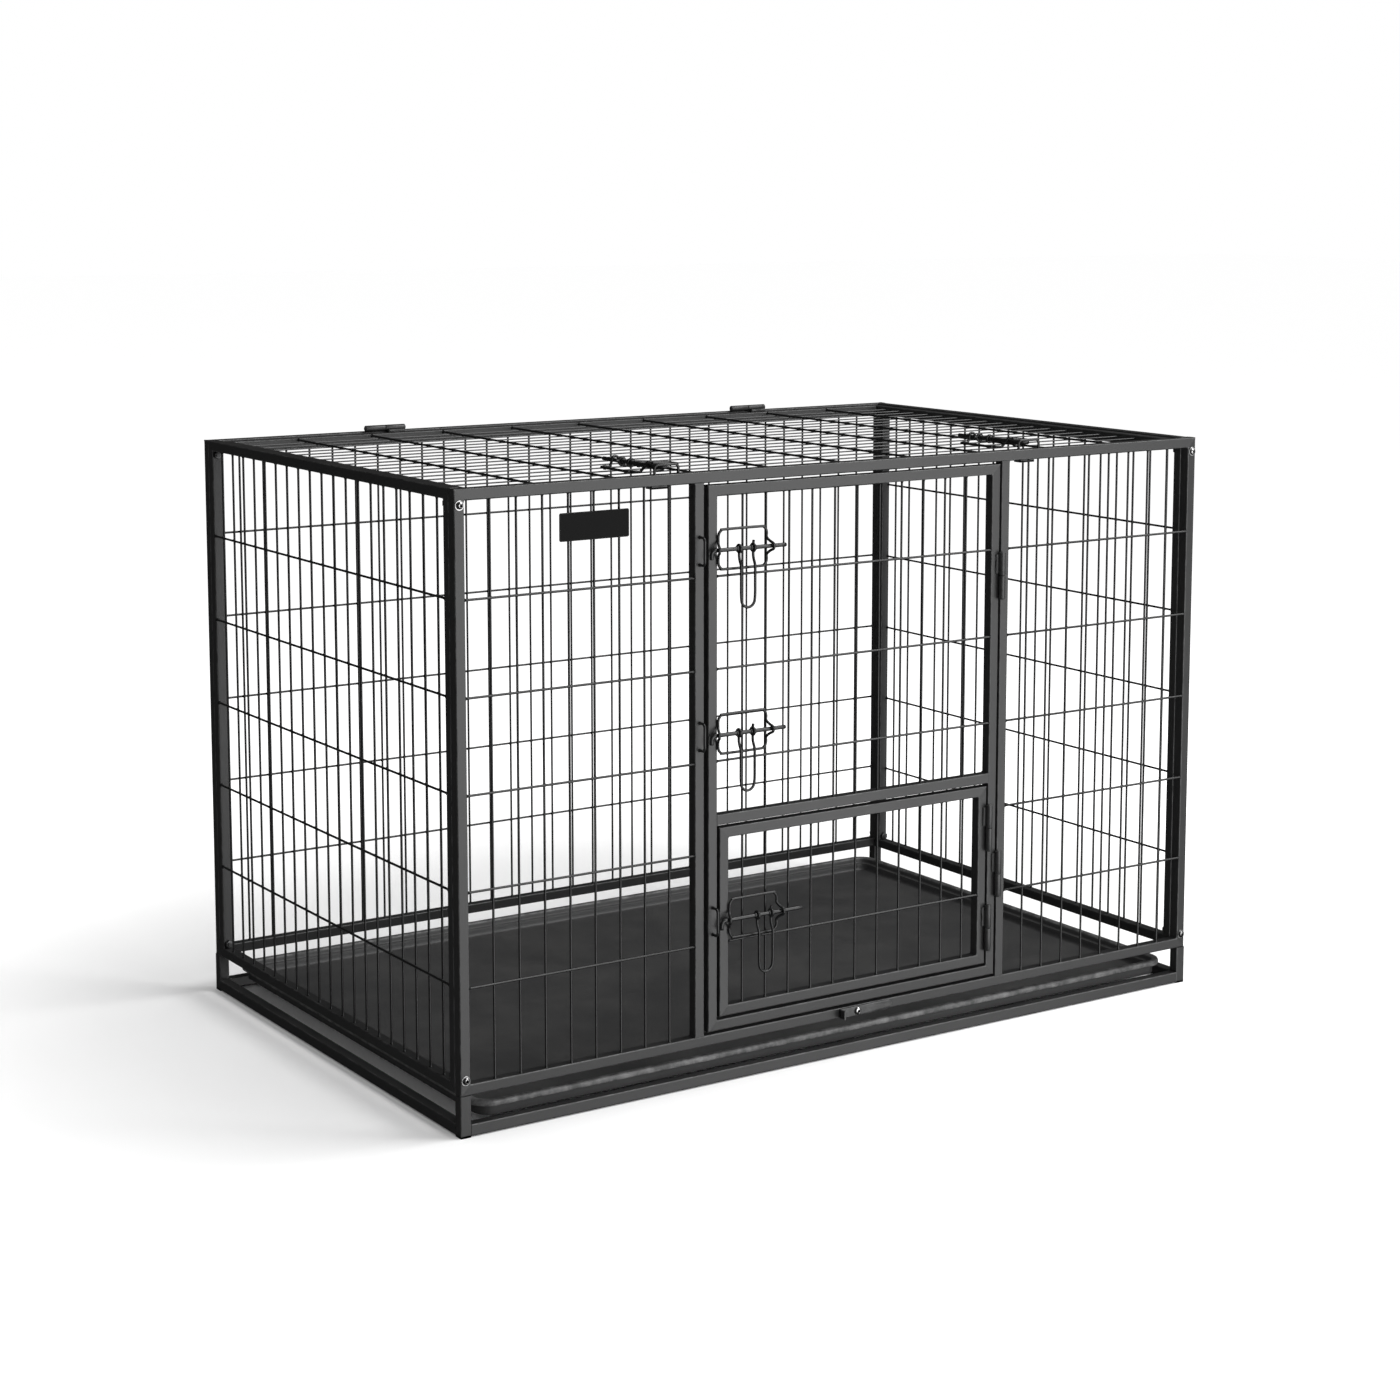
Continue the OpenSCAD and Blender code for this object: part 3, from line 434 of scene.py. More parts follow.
# The nuts' zinc is a darker copy of the screws' zinc: its darker colour is painted shade, and its
# higher roughness is its own.
SHADED_NUT_ZINC = finish(
    "Rougher zinc on nuts with painted shade", grey(0.05, 0.03), grey(0.1, 0.02), grey(0.22),
    rough=(0.42, 0.56), rubbed_rough=0.36, metal=1.0, bump=0.2, height=0.15, dust=0.1,
    Peel=500.0, Grain=1800.0)
PLATE_PAINT = finish(
    "Black name plate", grey(0.003), grey(0.006), grey(0.05),
    rough=(0.3, 0.4), gloss_level=0.03, bump=0.1, height=0.15, dust=0.02, Peel=520.0)
print("finishes:", [m.name for m in bpy.data.materials if m.users])

# %% [markdown]
# ## Square tube with soft edges
# Rolled tube has small round corners, and they catch the light as thin bright lines. The
# section is a rectangle with quarter circles, and each circle ends in one more point on the
# flat, so that smooth shading doesn't bend the flats.

# %% The section of a tube
TUBE_W, TUBE_D = 14 * MM, 15 * MM
TUBE_R = 1.3 * MM
ARC_STEPS = 4
HOLD = 0.25 * MM


def tube_section(width, depth, radius=TUBE_R):
    """Points of a round-cornered rectangle from (0, 0) to (width, depth), their outward
    directions, and how rubbed each is. That value peaks mid-corner, so the corners are painted
    lighter: partly wear, partly painted highlight. Corner k is centre + radius (cos a, sin a),
    with a from k - 1 to k quarter turns, and its ends are drawn out along the flats by HOLD."""
    turn = (np.arange(4)[:, None] - 1 + np.linspace(0, 1, ARC_STEPS + 1)) * math.pi / 2
    turn = np.concatenate([turn[:, :1], turn, turn[:, -1:]], axis=1)
    out = np.stack([np.cos(turn), np.sin(turn)], -1)
    centre = np.array([[width - radius, radius], [width - radius, depth - radius],
                       [radius, depth - radius], [radius, radius]])
    points = centre[:, None] + radius * out
    ahead = np.stack([-np.sin(turn), np.cos(turn)], -1)
    points[:, 0] -= HOLD * ahead[:, 0]
    points[:, -1] += HOLD * ahead[:, -1]
    steps = out.shape[1]
    # Painted highlight: the value peaks in the middle of each corner, so the paint is lighter
    # there.
    rubbed_and_lit = np.clip(1.15 - np.abs(np.linspace(-1.3, 1.3, steps)), 0, 1)
    return points.reshape(-1, 2), out.reshape(-1, 2), np.tile(rubbed_and_lit, 4)


# %% [markdown]
# ## Mitred frames
# A frame's four tubes meet at 45 degrees and are welded round the joint, then the outer face is
# dressed nearly flat. Carrying the section round the rectangle makes mitres by itself: a point
# that lies s inside one edge lies s inside the next. Rings close to the mitre swell into a bead.

# %% A frame of mitred tubes
BEAD_REACH = np.array([-2.6, -1.5, -0.6, 0.6, 1.5, 2.6]) * MM
BEAD_HEIGHT = np.array([0.0, 0.22, 0.42, 0.42, 0.22, 0.0]) * MM
DRESSED = 0.3


def mitred_frame(box):
    """Section point (s, t) goes to corner + s (inwards along both edges) + t n. A ring at
    reach e is moved by e along the side that it lies on, and grown by the bead's height."""
    low, high = box
    section, out, rubbed_and_lit = tube_section(TUBE_W, TUBE_D)
    lift = np.where(out[:, 1:] < -0.5, DRESSED, 1.0)
    corners = np.array([[low[0], low[1]], [high[0], low[1]], [high[0], high[1]],
                        [low[0], high[1]]])
    inwards = np.array([[1, 1], [-1, 1], [-1, -1], [1, -1]])
    sides = np.array([[1, 0], [0, 1], [-1, 0], [0, -1]])
    travel = np.where(BEAD_REACH[None, :, None] < 0, np.roll(sides, 1, 0)[:, None],
                      sides[:, None])
    grown = section + BEAD_HEIGHT[:, None, None] * (out * lift)
    flat = (corners[:, None, None] + grown[None, :, :, :1] * inwards[:, None, None]
            + (BEAD_REACH[None, :, None] * travel)[:, :, None])
    inset = np.broadcast_to(grown[None, :, :, 1:], flat.shape[:3] + (1,))
    rings = np.concatenate([flat, low[2] + inset], -1)
    return skin(rings.reshape(-1, len(section), 3), rubbed_and_lit, loop=True)


# %% [markdown]
# ## Tubes that butt against others
# A door post or a base rail ends square against another tube, with a small fillet of weld all
# round. The section is carried straight, and its first and last rings swell to the fillet. The
# swell stays behind the outer face, where the weld was ground away.

# %% A straight bar
FILLET_REACH = np.array([0.0, 0.5, 1.1, 1.9, 3.0]) * MM
FILLET_SWELL = np.array([1.3, 0.8, 0.42, 0.15, 0.0]) * MM


def bar(box, axis, radius=TUBE_R, fillet=1.0, within=None):
    """A round-cornered bar that fills a box. axis is the direction that it runs in, and within,
    if given, is a box that the fillet must not leave, because it was ground flush there."""
    low, high = np.asarray(box, float)
    across = [k for k in range(3) if k != axis]
    size = high - low
    section, out, rubbed_and_lit = tube_section(size[across[0]], size[across[1]], radius)
    along = np.concatenate([FILLET_REACH, size[axis] - FILLET_REACH[::-1]])
    swell = fillet * np.concatenate([FILLET_SWELL, FILLET_SWELL[::-1]])
    flat = section + swell[:, None, None] * out
    rings = np.empty((len(along), len(section), 3))
    rings[..., axis] = low[axis] + along[:, None]
    rings[..., across[0]] = low[across[0]] + flat[..., 0]
    rings[..., across[1]] = low[across[1]] + flat[..., 1]
    if within is not None:
        rings = np.clip(rings, *within)
    return skin(rings, rubbed_and_lit)


# %% [markdown]
# ## Round wire and weld spots
# Mesh wire is resistance welded: crossing wires sink into each other a little and a low nugget
# squeezes out between them. Where a wire meets a tube, the weld wets it and flares. There are
# hundreds of both, so a wire is a handful of rings and a nugget is four rings of six points.

# %% Wires and nuggets
WIRE_SIDES = 10
FLARE_REACH = np.array([-0.4, 0.7, 1.5, 2.6]) * MM
FLARE = np.array([1.75, 1.4, 1.12, 1.0])
SLANT = [0.31, 0.52, 0.79]  # a direction that no wire or weld here runs along


def circle(sides):
    """Unit circle as points (cos, sin)."""
    angle = 2 * math.pi * np.arange(sides) / sides
    return np.stack([np.cos(angle), np.sin(angle)], -1)


def rods(starts, ends, radius, sides=WIRE_SIDES):
    """Parallel round wires. Ring i of wire k is a circle of radius r flare(i) about start k plus
    reach(i) along the wire, and the far end mirrors the near one."""
    starts, ends = np.atleast_2d(starts), np.atleast_2d(ends)
    length = np.linalg.norm(ends[0] - starts[0])
    ahead = (ends[0] - starts[0]) / length
    aside = np.cross(ahead, SLANT)
    aside /= np.linalg.norm(aside)
    frame_2d = np.array([aside, np.cross(ahead, aside)])
    along = np.concatenate([FLARE_REACH, length - FLARE_REACH[::-1]])
    swell = radius * np.concatenate([FLARE, FLARE[::-1]])
    hoop = circle(sides) @ frame_2d
    rings = (starts[:, None, None] + along[None, :, None, None] * ahead
             + swell[None, :, None, None] * hoop)
    return skin(rings, 0.12)


def nuggets(centres, radii):
    """Low weld spots: squashed spheres of four rings, ring radius cos a and height sin a."""
    angle = np.radians([-64, -24, 24, 64])
    hoop = circle(6)
    ball = np.stack([np.cos(angle)[:, None] * hoop[:, 0], np.cos(angle)[:, None] * hoop[:, 1],
                     np.broadcast_to(np.sin(angle)[:, None], (4, 6))], -1)
    return skin(np.asarray(centres)[:, None, None] + ball * np.asarray(radii), 0.2)


# %% Places of wires, by the crate's own rule
WIRE_R = 1.6 * MM
ROW_IN = 2.0 * MM
SUNK = 0.3 * MM  # how far crossing wires melt into each other
UPRIGHT_IN = ROW_IN + 2 * WIRE_R - SUNK
PITCH, SIDE_PITCH, ROW_PITCH = 37.2 * MM, 36.3 * MM, 122 * MM
EDGE, ROW_EDGE = 24 * MM, 65 * MM


def spread(low, high, pitch, edge):
    """Evenly spaced places centred between low and high, none nearer an end than edge."""
    count = int((high - low - 2 * edge) / pitch)
    return (low + high - count * pitch) / 2 + pitch * np.arange(count + 1)


def grid_points(u, v, n):
    """All pairs of u and v at a depth n."""
    one, two = np.meshgrid(u, v, indexing="ij")
    return np.stack([one.ravel(), two.ravel(), np.full(one.size, n)], -1)


def wire_mesh(box, uprights, rows):
    """Level wires just inside the face, uprights behind them, and a nugget at each crossing."""
    low, high = box
    rows_at = lambda u: np.array([[u, v, ROW_IN] for v in rows])
    uprights_at = lambda v: np.array([[u, v, UPRIGHT_IN] for u in uprights])
    crossings = grid_points(uprights, rows, (ROW_IN + UPRIGHT_IN) / 2)
    return [rods(rows_at(low[0]), rows_at(high[0]), WIRE_R),
            rods(uprights_at(low[1]), uprights_at(high[1]), WIRE_R),
            nuggets(crossings, [2.3 * MM, 2.3 * MM, 1.3 * MM])]


# %% The crate's rows, which the doors line up with
side_opening = flat_box("left_panel_mesh", LEFT)
WALL_ROWS = spread(side_opening[0][1], side_opening[1][1], ROW_PITCH, ROW_EDGE)
print("rows at", np.round(WALL_ROWS, 3).tolist())

# %% [markdown]
# ## The four walls
# Each wall is one frame piece and one mesh piece. The front wall has no mesh of its own behind
# the doors: its two door posts split it, and the bays on either side are separate meshes.

# %% Wall frames and wall meshes
WALLS = {"left": (LEFT, SIDE_PITCH), "right": (RIGHT, SIDE_PITCH), "back": (BACK, PITCH)}
for side, (sheet, pitch) in WALLS.items():
    outline = flat_box(f"{side}_panel_frame", sheet)
    opening = flat_box(f"{side}_panel_mesh", sheet)
    uprights = spread(opening[0][0], opening[1][0], pitch, EDGE)
    piece(f"{side}_wall_tubes", [stand(mitred_frame(outline), sheet)],
          TUBE_PAINT, "steel_tube", "root", f"{side}_panel_frame")
    wires = [stand(s, sheet) for s in wire_mesh(opening, uprights, WALL_ROWS)]
    piece(f"{side}_wall_wires", wires, DARKENED_WIRE_PAINT, "steel_wire", "root", f"{side}_panel_mesh")

# %% The front wall, its posts and its two bays
post_boxes = [(b - FRONT[0]) @ FRONT[1].T for b in solid_boxes("front_door_posts")]
piece("front_wall_tubes", [stand(mitred_frame(flat_box("front_panel_frame", FRONT)), FRONT)],
      TUBE_PAINT, "steel_tube", "root", "front_panel_frame")
BEHIND_FACE = np.array([[-9, -9, 0], [9, 9, 9.0]])
piece("front_wall_door_posts",
      [stand(bar(b, 1, within=BEHIND_FACE), FRONT) for b in post_boxes],
      TUBE_PAINT, "steel_tube", "root", "front_door_posts")
for side in ("left", "right"):
    opening = flat_box(f"front_{side}_mesh", FRONT)
    uprights = spread(opening[0][0], opening[1][0], PITCH, EDGE)
    wires = [stand(s, FRONT) for s in wire_mesh(opening, uprights, WALL_ROWS)]
    piece(f"front_{side}_bay_wires", wires, DARKENED_WIRE_PAINT, "steel_wire", "root",
          f"front_{side}_mesh")
print("walls done:", made[-1])

# %% [markdown]
# ## The two doors
# The main door is a mitred frame with a rail across its middle. Wire fills the part above the
# rail, and the small door fills the part below it with a frame and wire of its own.

# %% Door frames and door meshes
def door_rows(opening):
    """The wall's rows that fall inside a door's opening."""
    low, high = opening[0][1] + EDGE, opening[1][1] - EDGE
    return WALL_ROWS[(WALL_ROWS > low) & (WALL_ROWS < high)]


for door in ("main", "small"):
    outline = flat_box(f"{door}_door_frame", FRONT)
    opening = flat_box(f"{door}_door_mesh", FRONT)
    tubes = [mitred_frame(outline)]
    if door == "main":
        rail_low = [outline[0][0] + TUBE_W, opening[0][1] - TUBE_W, outline[0][2]]
        rail_high = [outline[1][0] - TUBE_W, opening[0][1], outline[1][2]]
        tubes.append(bar([rail_low, rail_high], 0, within=BEHIND_FACE))
    uprights = spread(opening[0][0], opening[1][0], PITCH, EDGE)
    piece(f"{door}_door_tubes", [stand(s, FRONT) for s in tubes],
          TUBE_PAINT, "steel_tube", f"{door}_door", f"{door}_door_frame")
    wires = [stand(s, FRONT) for s in wire_mesh(opening, uprights, door_rows(opening))]
    piece(f"{door}_door_wires", wires, DARKENED_WIRE_PAINT, "steel_wire", f"{door}_door",
          f"{door}_door_mesh")

# %% [markdown]
# ## The lid
# The lid is the lightest panel: thick wires run from front to back on top, and many thin ones
# run the length of it underneath. It lies inside the walls and stands on two angle tabs.

# %% Lid frame and lid mesh
ROD_DEEP = 1.2 * MM + WIRE_R
THIN_R = 1.0 * MM
THIN_DEEP = ROD_DEEP + WIRE_R + THIN_R - SUNK
ROD_PITCH, ROD_EDGE, THIN_PITCH = 119 * MM, 80 * MM, 38 * MM
piece("lid_tubes", [stand(mitred_frame(flat_box("lid_frame", LID)), LID)],
      TUBE_PAINT, "steel_tube", "lid", "lid_frame")
low, high = flat_box("lid_mesh", LID)
rod_u = spread(low[0], high[0], ROD_PITCH, ROD_EDGE)
thin_v = spread(low[1], high[1], THIN_PITCH, EDGE)
lid_wires = [
    rods([[u, low[1], ROD_DEEP] for u in rod_u], [[u, high[1], ROD_DEEP] for u in rod_u], WIRE_R),
    rods([[low[0], v, THIN_DEEP] for v in thin_v], [[high[0], v, THIN_DEEP] for v in thin_v],
         THIN_R, sides=8),
    nuggets(grid_points(rod_u, thin_v, (ROD_DEEP + THIN_DEEP) / 2),
            [1.9 * MM, 1.9 * MM, 1.1 * MM])]
piece("lid_wires", [stand(s, LID) for s in lid_wires], DARKENED_WIRE_PAINT, "steel_wire", "lid",
      "lid_mesh")

# %% The tabs under the lid
TAB_T, LEG_T = 3 * MM, 1.5 * MM
tabs = []
for low, high in solid_boxes("lid_rests"):
    shelf = [low, [high[0], high[1], low[2] + TAB_T]]
    leg = [[low[0], low[1], low[2] + 0.4 * MM], [high[0], low[1] + LEG_T, high[2]]]
    tabs += [bar(shelf, 0, radius=0.6 * MM, fillet=0), bar(leg, 0, radius=0.4 * MM, fillet=0)]
piece("lid_rest_tabs", tabs, TUBE_PAINT, "steel_tube", "root", "lid_rests")
print("lid done:", made[-2:])

# %% [markdown]
# ## The base
# Four short posts stand on plastic plugs and carry the walls on studs. Rails run between the
# posts at the floor, and three flat bars across them hold the tray up.

# %% Posts, rails, bars, plugs and studs
posts = [bar(b, 2, fillet=0) for b in solid_boxes("base_posts")]
base_box = crate["base_rails"]
rails = [bar(b, int(np.argmax(b[1] - b[0])), fillet=0.6, within=base_box)
         for b in solid_boxes("base_rails")]
rests = [bar(b, 1, radius=0.8 * MM, fillet=0.6, within=base_box)
         for b in solid_boxes("tray_rest_bars")]
PLUG_T, STUB_IN = 1.5 * MM, 1.3 * MM
plugs = []
for low, high in solid_boxes("foot_plugs"):
    stub = [low + STUB_IN * (X + Y) + 0.5 * MM * Z, high - STUB_IN * (X + Y)]
    plugs += [bar([low, [high[0], high[1], low[2] + PLUG_T]], 2, radius=1.1 * MM, fillet=0),
              bar(stub, 2, radius=0.6 * MM, fillet=0)]
piece("base_corner_posts", posts, TUBE_PAINT, "steel_tube", "root", "base_posts")
piece("base_long_and_short_rails", rails, TUBE_PAINT, "steel_tube", "root", "base_rails")
piece("tray_bearer_bars", rests, TUBE_PAINT, "steel_tube", "root", "tray_rest_bars")
piece("foot_end_plugs", plugs, PLUG_PLASTIC, "plug_plastic", "root", "foot_plugs")
print("base done:", made[-4:])

# %% [markdown]
# ## Turned parts
# Barrels, collars, bolts and nuts are all turned or pressed round an axis, so each is one
# profile of radii along that axis. A hexagon is the same thing with six points to a ring.

# %% Turn a profile round an axis
def turned(profile, sheet, at=(0, 0, 0), sides=24, worn_and_lit=0.15, phase=0.0, bored=False):
    """Ring i has radius r(i) at height h(i) along the sheet's third axis, from a profile of
    (h, r) pairs in mm. Where the part is bored, the last ring joins the first as its bore."""
    profile = np.asarray(profile, float) * MM
    angle = 2 * math.pi * (np.arange(sides) + phase) / sides
    hoop = np.stack([np.cos(angle), np.sin(angle), np.zeros(sides)], -1)
    rings = np.asarray(at, float) + profile[:, 1, None, None] * hoop
    rings = rings + profile[:, 0, None, None] * np.array([0, 0, 1.0])
    rubbed_and_lit = np.broadcast_to(worn_and_lit, (len(profile),))[:, None] if np.ndim(worn_and_lit) else worn_and_lit
    return stand(skin(rings, rubbed_and_lit, loop=bored), sheet)


# %% [markdown]
# ## Hinges
# These are weld-on barrel hinges. Each half is a turned barrel with a narrow leaf that is
# welded to a tube, and a pin with low domed ends runs through both halves.

# %% One hinge in three pieces
HINGE_L, BARREL_R, BORE_R, PIN_R, AXIS_OUT = 65, 4.5, 2.7, 2.5, 4.8
LEAF_W, LEAF_T, LEAF_IN, KNUCKLE = 8.1, 2.5, 3, 32.3


def hinge_half(sheet, upper, hand, pad=0.0):
    """On a hinge's sheet x goes along the face, y out of it and z along the pin. The barrel is
    a profile with eased ends, and the leaf is a flat bar from the pin's line to one side."""
    low = 0.2 if upper else -HINGE_L / 2
    outer = [(0, BORE_R), (0, 3.9), (0.25, 4.32), (0.7, BARREL_R)]
    ends = outer + [(KNUCKLE - h, r) for h, r in outer[::-1]]
    worn_and_lit = [0, 0.7, 0.9, 0.2, 0.2, 0.9, 0.7, 0]
    barrel = turned([(low + h, r) for h, r in ends], sheet, [0, AXIS_OUT * MM, 0],
                    worn_and_lit=np.array(worn_and_lit), bored=True)
    from_x, to_x = (0, LEAF_W) if hand > 0 else (-LEAF_W, 0)
    leaf_box = np.array([[from_x, -pad, low + LEAF_IN],
                         [to_x, LEAF_T, low + KNUCKLE - LEAF_IN]]) * MM
    leaf = stand(bar(leaf_box, 2, radius=0.6 * MM, fillet=0), sheet)
    edge = (to_x if hand > 0 else from_x) - hand * 0.4
    ears = [weld_bead(sheet, [edge, 0.15, low + z0], [edge, 0.15, low + z1])
            for z0, z1 in ((LEAF_IN + 0.6, LEAF_IN + 8.6),
                           (KNUCKLE - LEAF_IN - 8.6, KNUCKLE - LEAF_IN - 0.6))]
    return [barrel, leaf] + ears


def hinge_pin(sheet):
    """A shaft with a low dome at each end: the dome's radius falls as a quarter ellipse."""
    dome = [(0.0, 3.3), (0.45, 3.15), (0.85, 2.6), (1.15, 1.7), (1.3, 0.6)]
    top = HINGE_L / 2 + 0.06
    profile = ([(-top - h, r) for h, r in dome[::-1]] + [(-top, PIN_R), (top, PIN_R)]
               + [(top + h, r) for h, r in dome])
    return turned(profile, sheet, [0, AXIS_OUT * MM, 0], worn_and_lit=0.8)


def weld_bead(sheet, start, end, radius=1.25):
    """A short run of weld: a round of radius r that swells and sinks like overlapping drops,
    r (0.82 + 0.18 |cos|), and closes at both ends."""
    start, end = np.array(start) * MM, np.array(end) * MM
    t = np.linspace(0, 1, 17)
    swell = radius * MM * (0.8 + 0.2 * np.abs(np.cos(5 * math.pi * t)))
    swell[[0, -1]] *= 0.25
    ahead = (end - start) / np.linalg.norm(end - start)
    aside = np.cross(ahead, SLANT)
    aside /= np.linalg.norm(aside)
    hoop = circle(8) @ np.array([aside, np.cross(ahead, aside)])
    rings = start + t[:, None, None] * (end - start) + swell[:, None, None] * hoop
    return stand(skin(rings, 0.3), sheet)


# %% Places of the six hinges, from their pins
def hinge_sheets(pin_node, along, across, out):
    """A sheet for each hinge of a set, with its zero on the face under the pin's middle."""
    sheets = []
    for low, high in solid_boxes(pin_node):
        middle = (low + high) / 2
        sheets.append(place(middle - AXIS_OUT * MM * out, across, out, along))
    return sheets


hinge_sets = {
    "main": (hinge_sheets("main_hinge_pins", Z, X, -Y), ("main_hinge_post_halves", "root", 1),
             ("main_hinge_door_halves", "main_door", -1), "root", 0.0),
    "small": (hinge_sheets("small_hinge_pins", Z, X, -Y),
              ("small_hinge_fixed_halves", "main_door", 1),
              ("small_hinge_door_halves", "small_door", -1), "main_door", 0.0),
    "lid": (hinge_sheets("lid_hinge_pins", X, -Y, Z), ("lid_hinge_wall_halves", "root", -1),
            ("lid_hinge_lid_halves", "lid", 1), "root", 2.0)}
for name, (sheets, lower, upper, pin_body, pad) in hinge_sets.items():
    for node_name, body, hand in (lower, upper):
        is_upper = node_name == upper[0]
        halves = sum([hinge_half(s, is_upper, hand, pad if is_upper else 0) for s in sheets], [])
        piece(f"{node_name}_barrels", halves, TUBE_PAINT, "steel_tube", body, node_name)
    piece(f"{name}_hinge_pins_domed", [hinge_pin(s) for s in sheets], TUBE_PAINT, "steel_tube",
          pin_body, f"{name}_hinge_pins")
print("hinges done:", made[-3:])

# %% [markdown]
# ## Bent wire
# Latch parts are thick wire bent in a jig. A bent wire is a circle carried along a smooth path
# through a few points that the bender would mark.

# %% Smooth paths and swept wire
LATCH_R, BOLT_R = 1.85, 2.75
ARCH_R, EYE_R = 4.9, 4.75
CLEAR = 1.9


def smooth(path, per=4, loop=False):
    """Catmull-Rom curve. Between points b and c it is
    ((2 b) + (c - a) t + (2a - 5b + 4c - d) t^2 + (3b - a - 3c + d) t^3) / 2."""
    p = np.asarray(path, float)
    if not loop:
        p = np.concatenate([[2 * p[0] - p[1]], p, [2 * p[-1] - p[-2]]])
        a, b, c, d = p[:-3], p[1:-2], p[2:-1], p[3:]
    else:
        a, b, c, d = (np.roll(p, k, axis=0) for k in (1, 0, -1, -2))
    t = (np.arange(per) / per)[None, :, None]
    a, b, c, d = (q[:, None] for q in (a, b, c, d))
    curve = (2 * b + (c - a) * t + (2 * a - 5 * b + 4 * c - d) * t ** 2
             + (3 * b - a - 3 * c + d) * t ** 3) / 2
    curve = curve.reshape(-1, 3)
    return curve if loop else np.concatenate([curve, p[-2:-1]])


def swept_wire(path, radius, aside, loop=False, sides=12, worn_and_lit=0.15):
    """Circle i is centred on path point i, square to the path's direction there, with its first
    axis across aside. radius may change along the path."""
    path = np.asarray(path, float)
    ahead = np.roll(path, -1, 0) - np.roll(path, 1, 0)
    if not loop:
        ahead[0], ahead[-1] = path[1] - path[0], path[-1] - path[-2]
    ahead /= np.linalg.norm(ahead, axis=1, keepdims=True)
    one = np.cross(ahead, aside)
    one /= np.linalg.norm(one, axis=1, keepdims=True)
    two = np.cross(ahead, one)
    hoop = circle(sides)
    radius = np.broadcast_to(radius, (len(path),))[:, None, None]
    rings = path[:, None] + radius * (hoop[:, :1] * one[:, None] + hoop[:, 1:] * two[:, None])
    worn_and_lit = worn_and_lit if np.ndim(worn_and_lit) == 0 else np.asarray(worn_and_lit)[:, None]
    return skin(rings * MM, worn_and_lit, loop=loop)


def end_taper(count, radius, ease=(0.55, 0.86)):
    """Radii along a wire whose first and last rings close in, as on a tumbled bar."""
    r = np.full(count, float(radius))
    r[[0, -1]] *= ease[0]
    r[[1, -2]] *= ease[1]
    return r


def with_ends(path, reach):
    """A path with extra points at both ends, reach mm before them, for the taper to turn on."""
    path = np.asarray(path, float)
    first = (path[1] - path[0]) / np.linalg.norm(path[1] - path[0])
    last = (path[-2] - path[-1]) / np.linalg.norm(path[-2] - path[-1])
    head = [path[0], path[0] + 0.3 * reach * first, path[0] + reach * first]
    tail = [path[-1] + reach * last, path[-1] + 0.3 * reach * last, path[-1]]
    return np.concatenate([head, path[1:-1], tail])


# %% [markdown]
# ## Slide latches
# A latch has four parts. A guide loop is welded to the door's wires, and its two ends arch over
# the bolt. The bolt is a bar with a hooked tip. A pull hangs from the bolt by two eyes, between
# pairs of collars. A keeper staple on the next tube takes the bolt when it slides across.

# %% Latch parts, drawn with the pull's eyes at zero
GUIDE_L, GUIDE_H, GUIDE_R = 76, 52, 9
PULL_L, PULL_W = 79, 22
HOOK, HOOK_R = 12, 6
EYE_EDGE = LATCH_R + 0.4
KEEPER_HALF, KEEPER_TURN = 18, 5


def turn_points(x, y, z, r, start, stop, steps=3):
    """Points of an arc in degrees, in a plane of constant z."""
    angle = np.radians(np.linspace(start, stop, steps + 1))
    return [[x + r * math.cos(a), y + r * math.sin(a), z] for a in angle]


def guide_arch(x, out, way, foot):
    """One end of a guide: up over the bolt and down again, kinked outwards on the way."""
    half = [(11, foot, 0), (1.2 * ARCH_R, out, 2.75), (0.75 * ARCH_R, out + 0.86 * ARCH_R, 4.25)]
    going = [[x + way * k, -way * y, z] for y, z, k in half]
    coming = [[x + way * k, way * y, z] for y, z, k in half[::-1]]
    return going + [[x + way * 5, 0, out + 1.04 * ARCH_R]] + coming


def guide_loop(start, out):
    """The whole loop: an arch, two corners, the other arch, and two more corners."""
    end, edge, r = start + GUIDE_L, GUIDE_H / 2 - GUIDE_R, GUIDE_R
    path = (guide_arch(end, out, 1, CLEAR) + turn_points(end - r, edge, CLEAR, r, 0, 90)
            + turn_points(start + r, edge, CLEAR, r, 90, 180)
            + guide_arch(start, out, -1, CLEAR)
            + turn_points(start + r, -edge, CLEAR, r, 180, 270)
            + turn_points(end - r, -edge, CLEAR, r, 270, 360))
    return swept_wire(smooth(path, 3, loop=True), LATCH_R, [0.02, 0.03, 1.0], loop=True)


def keeper_staple(x, out, foot):
    """A staple: two legs and two quarter turns, with its ends flared by the weld."""
    half, r = KEEPER_HALF, KEEPER_TURN
    top = out + ARCH_R + 0.2
    near = [[x, -half + r - r * math.cos(a), top - r + r * math.sin(a)]
            for a in np.radians([0, 22, 45, 67, 90])]
    far = [[x, -y, z] for _, y, z in near[::-1]]
    legs = [[x, -half, foot + h] for h in (-0.2, 0.5, 1.3, 2.4)]
    other = [[x, half, z] for _, _, z in legs[::-1]]
    path = legs + near + far + other
    radius = np.full(len(path), LATCH_R)
    radius[:3] *= [1.55, 1.3, 1.08]
    radius[-3:] *= [1.08, 1.3, 1.55]
    return swept_wire(path, radius, [1, 0, 0], worn_and_lit=0.25)


def slide_bolt(tip, end, out):
    """A bar whose last part turns through a quarter circle into the hook, and its collars."""
    hook = [[tip, -y, out] for y in (HOOK, 8.5)]
    bent = [[tip + HOOK_R - HOOK_R * math.cos(a), -HOOK_R + HOOK_R * math.sin(a), out]
            for a in np.radians([0, 18, 36, 54, 72, 90])]
    path = with_ends(hook + bent + [[tip + 20, 0, out], [end - 12, 0, out], [end, 0, out]], 1.0)
    worn_and_lit = np.full(len(path), 0.3)
    worn_and_lit[[0, 1, -2, -1]] = 0.9
    return swept_wire(path, end_taper(len(path), BOLT_R), [0, 0, 1], sides=16, worn_and_lit=worn_and_lit)


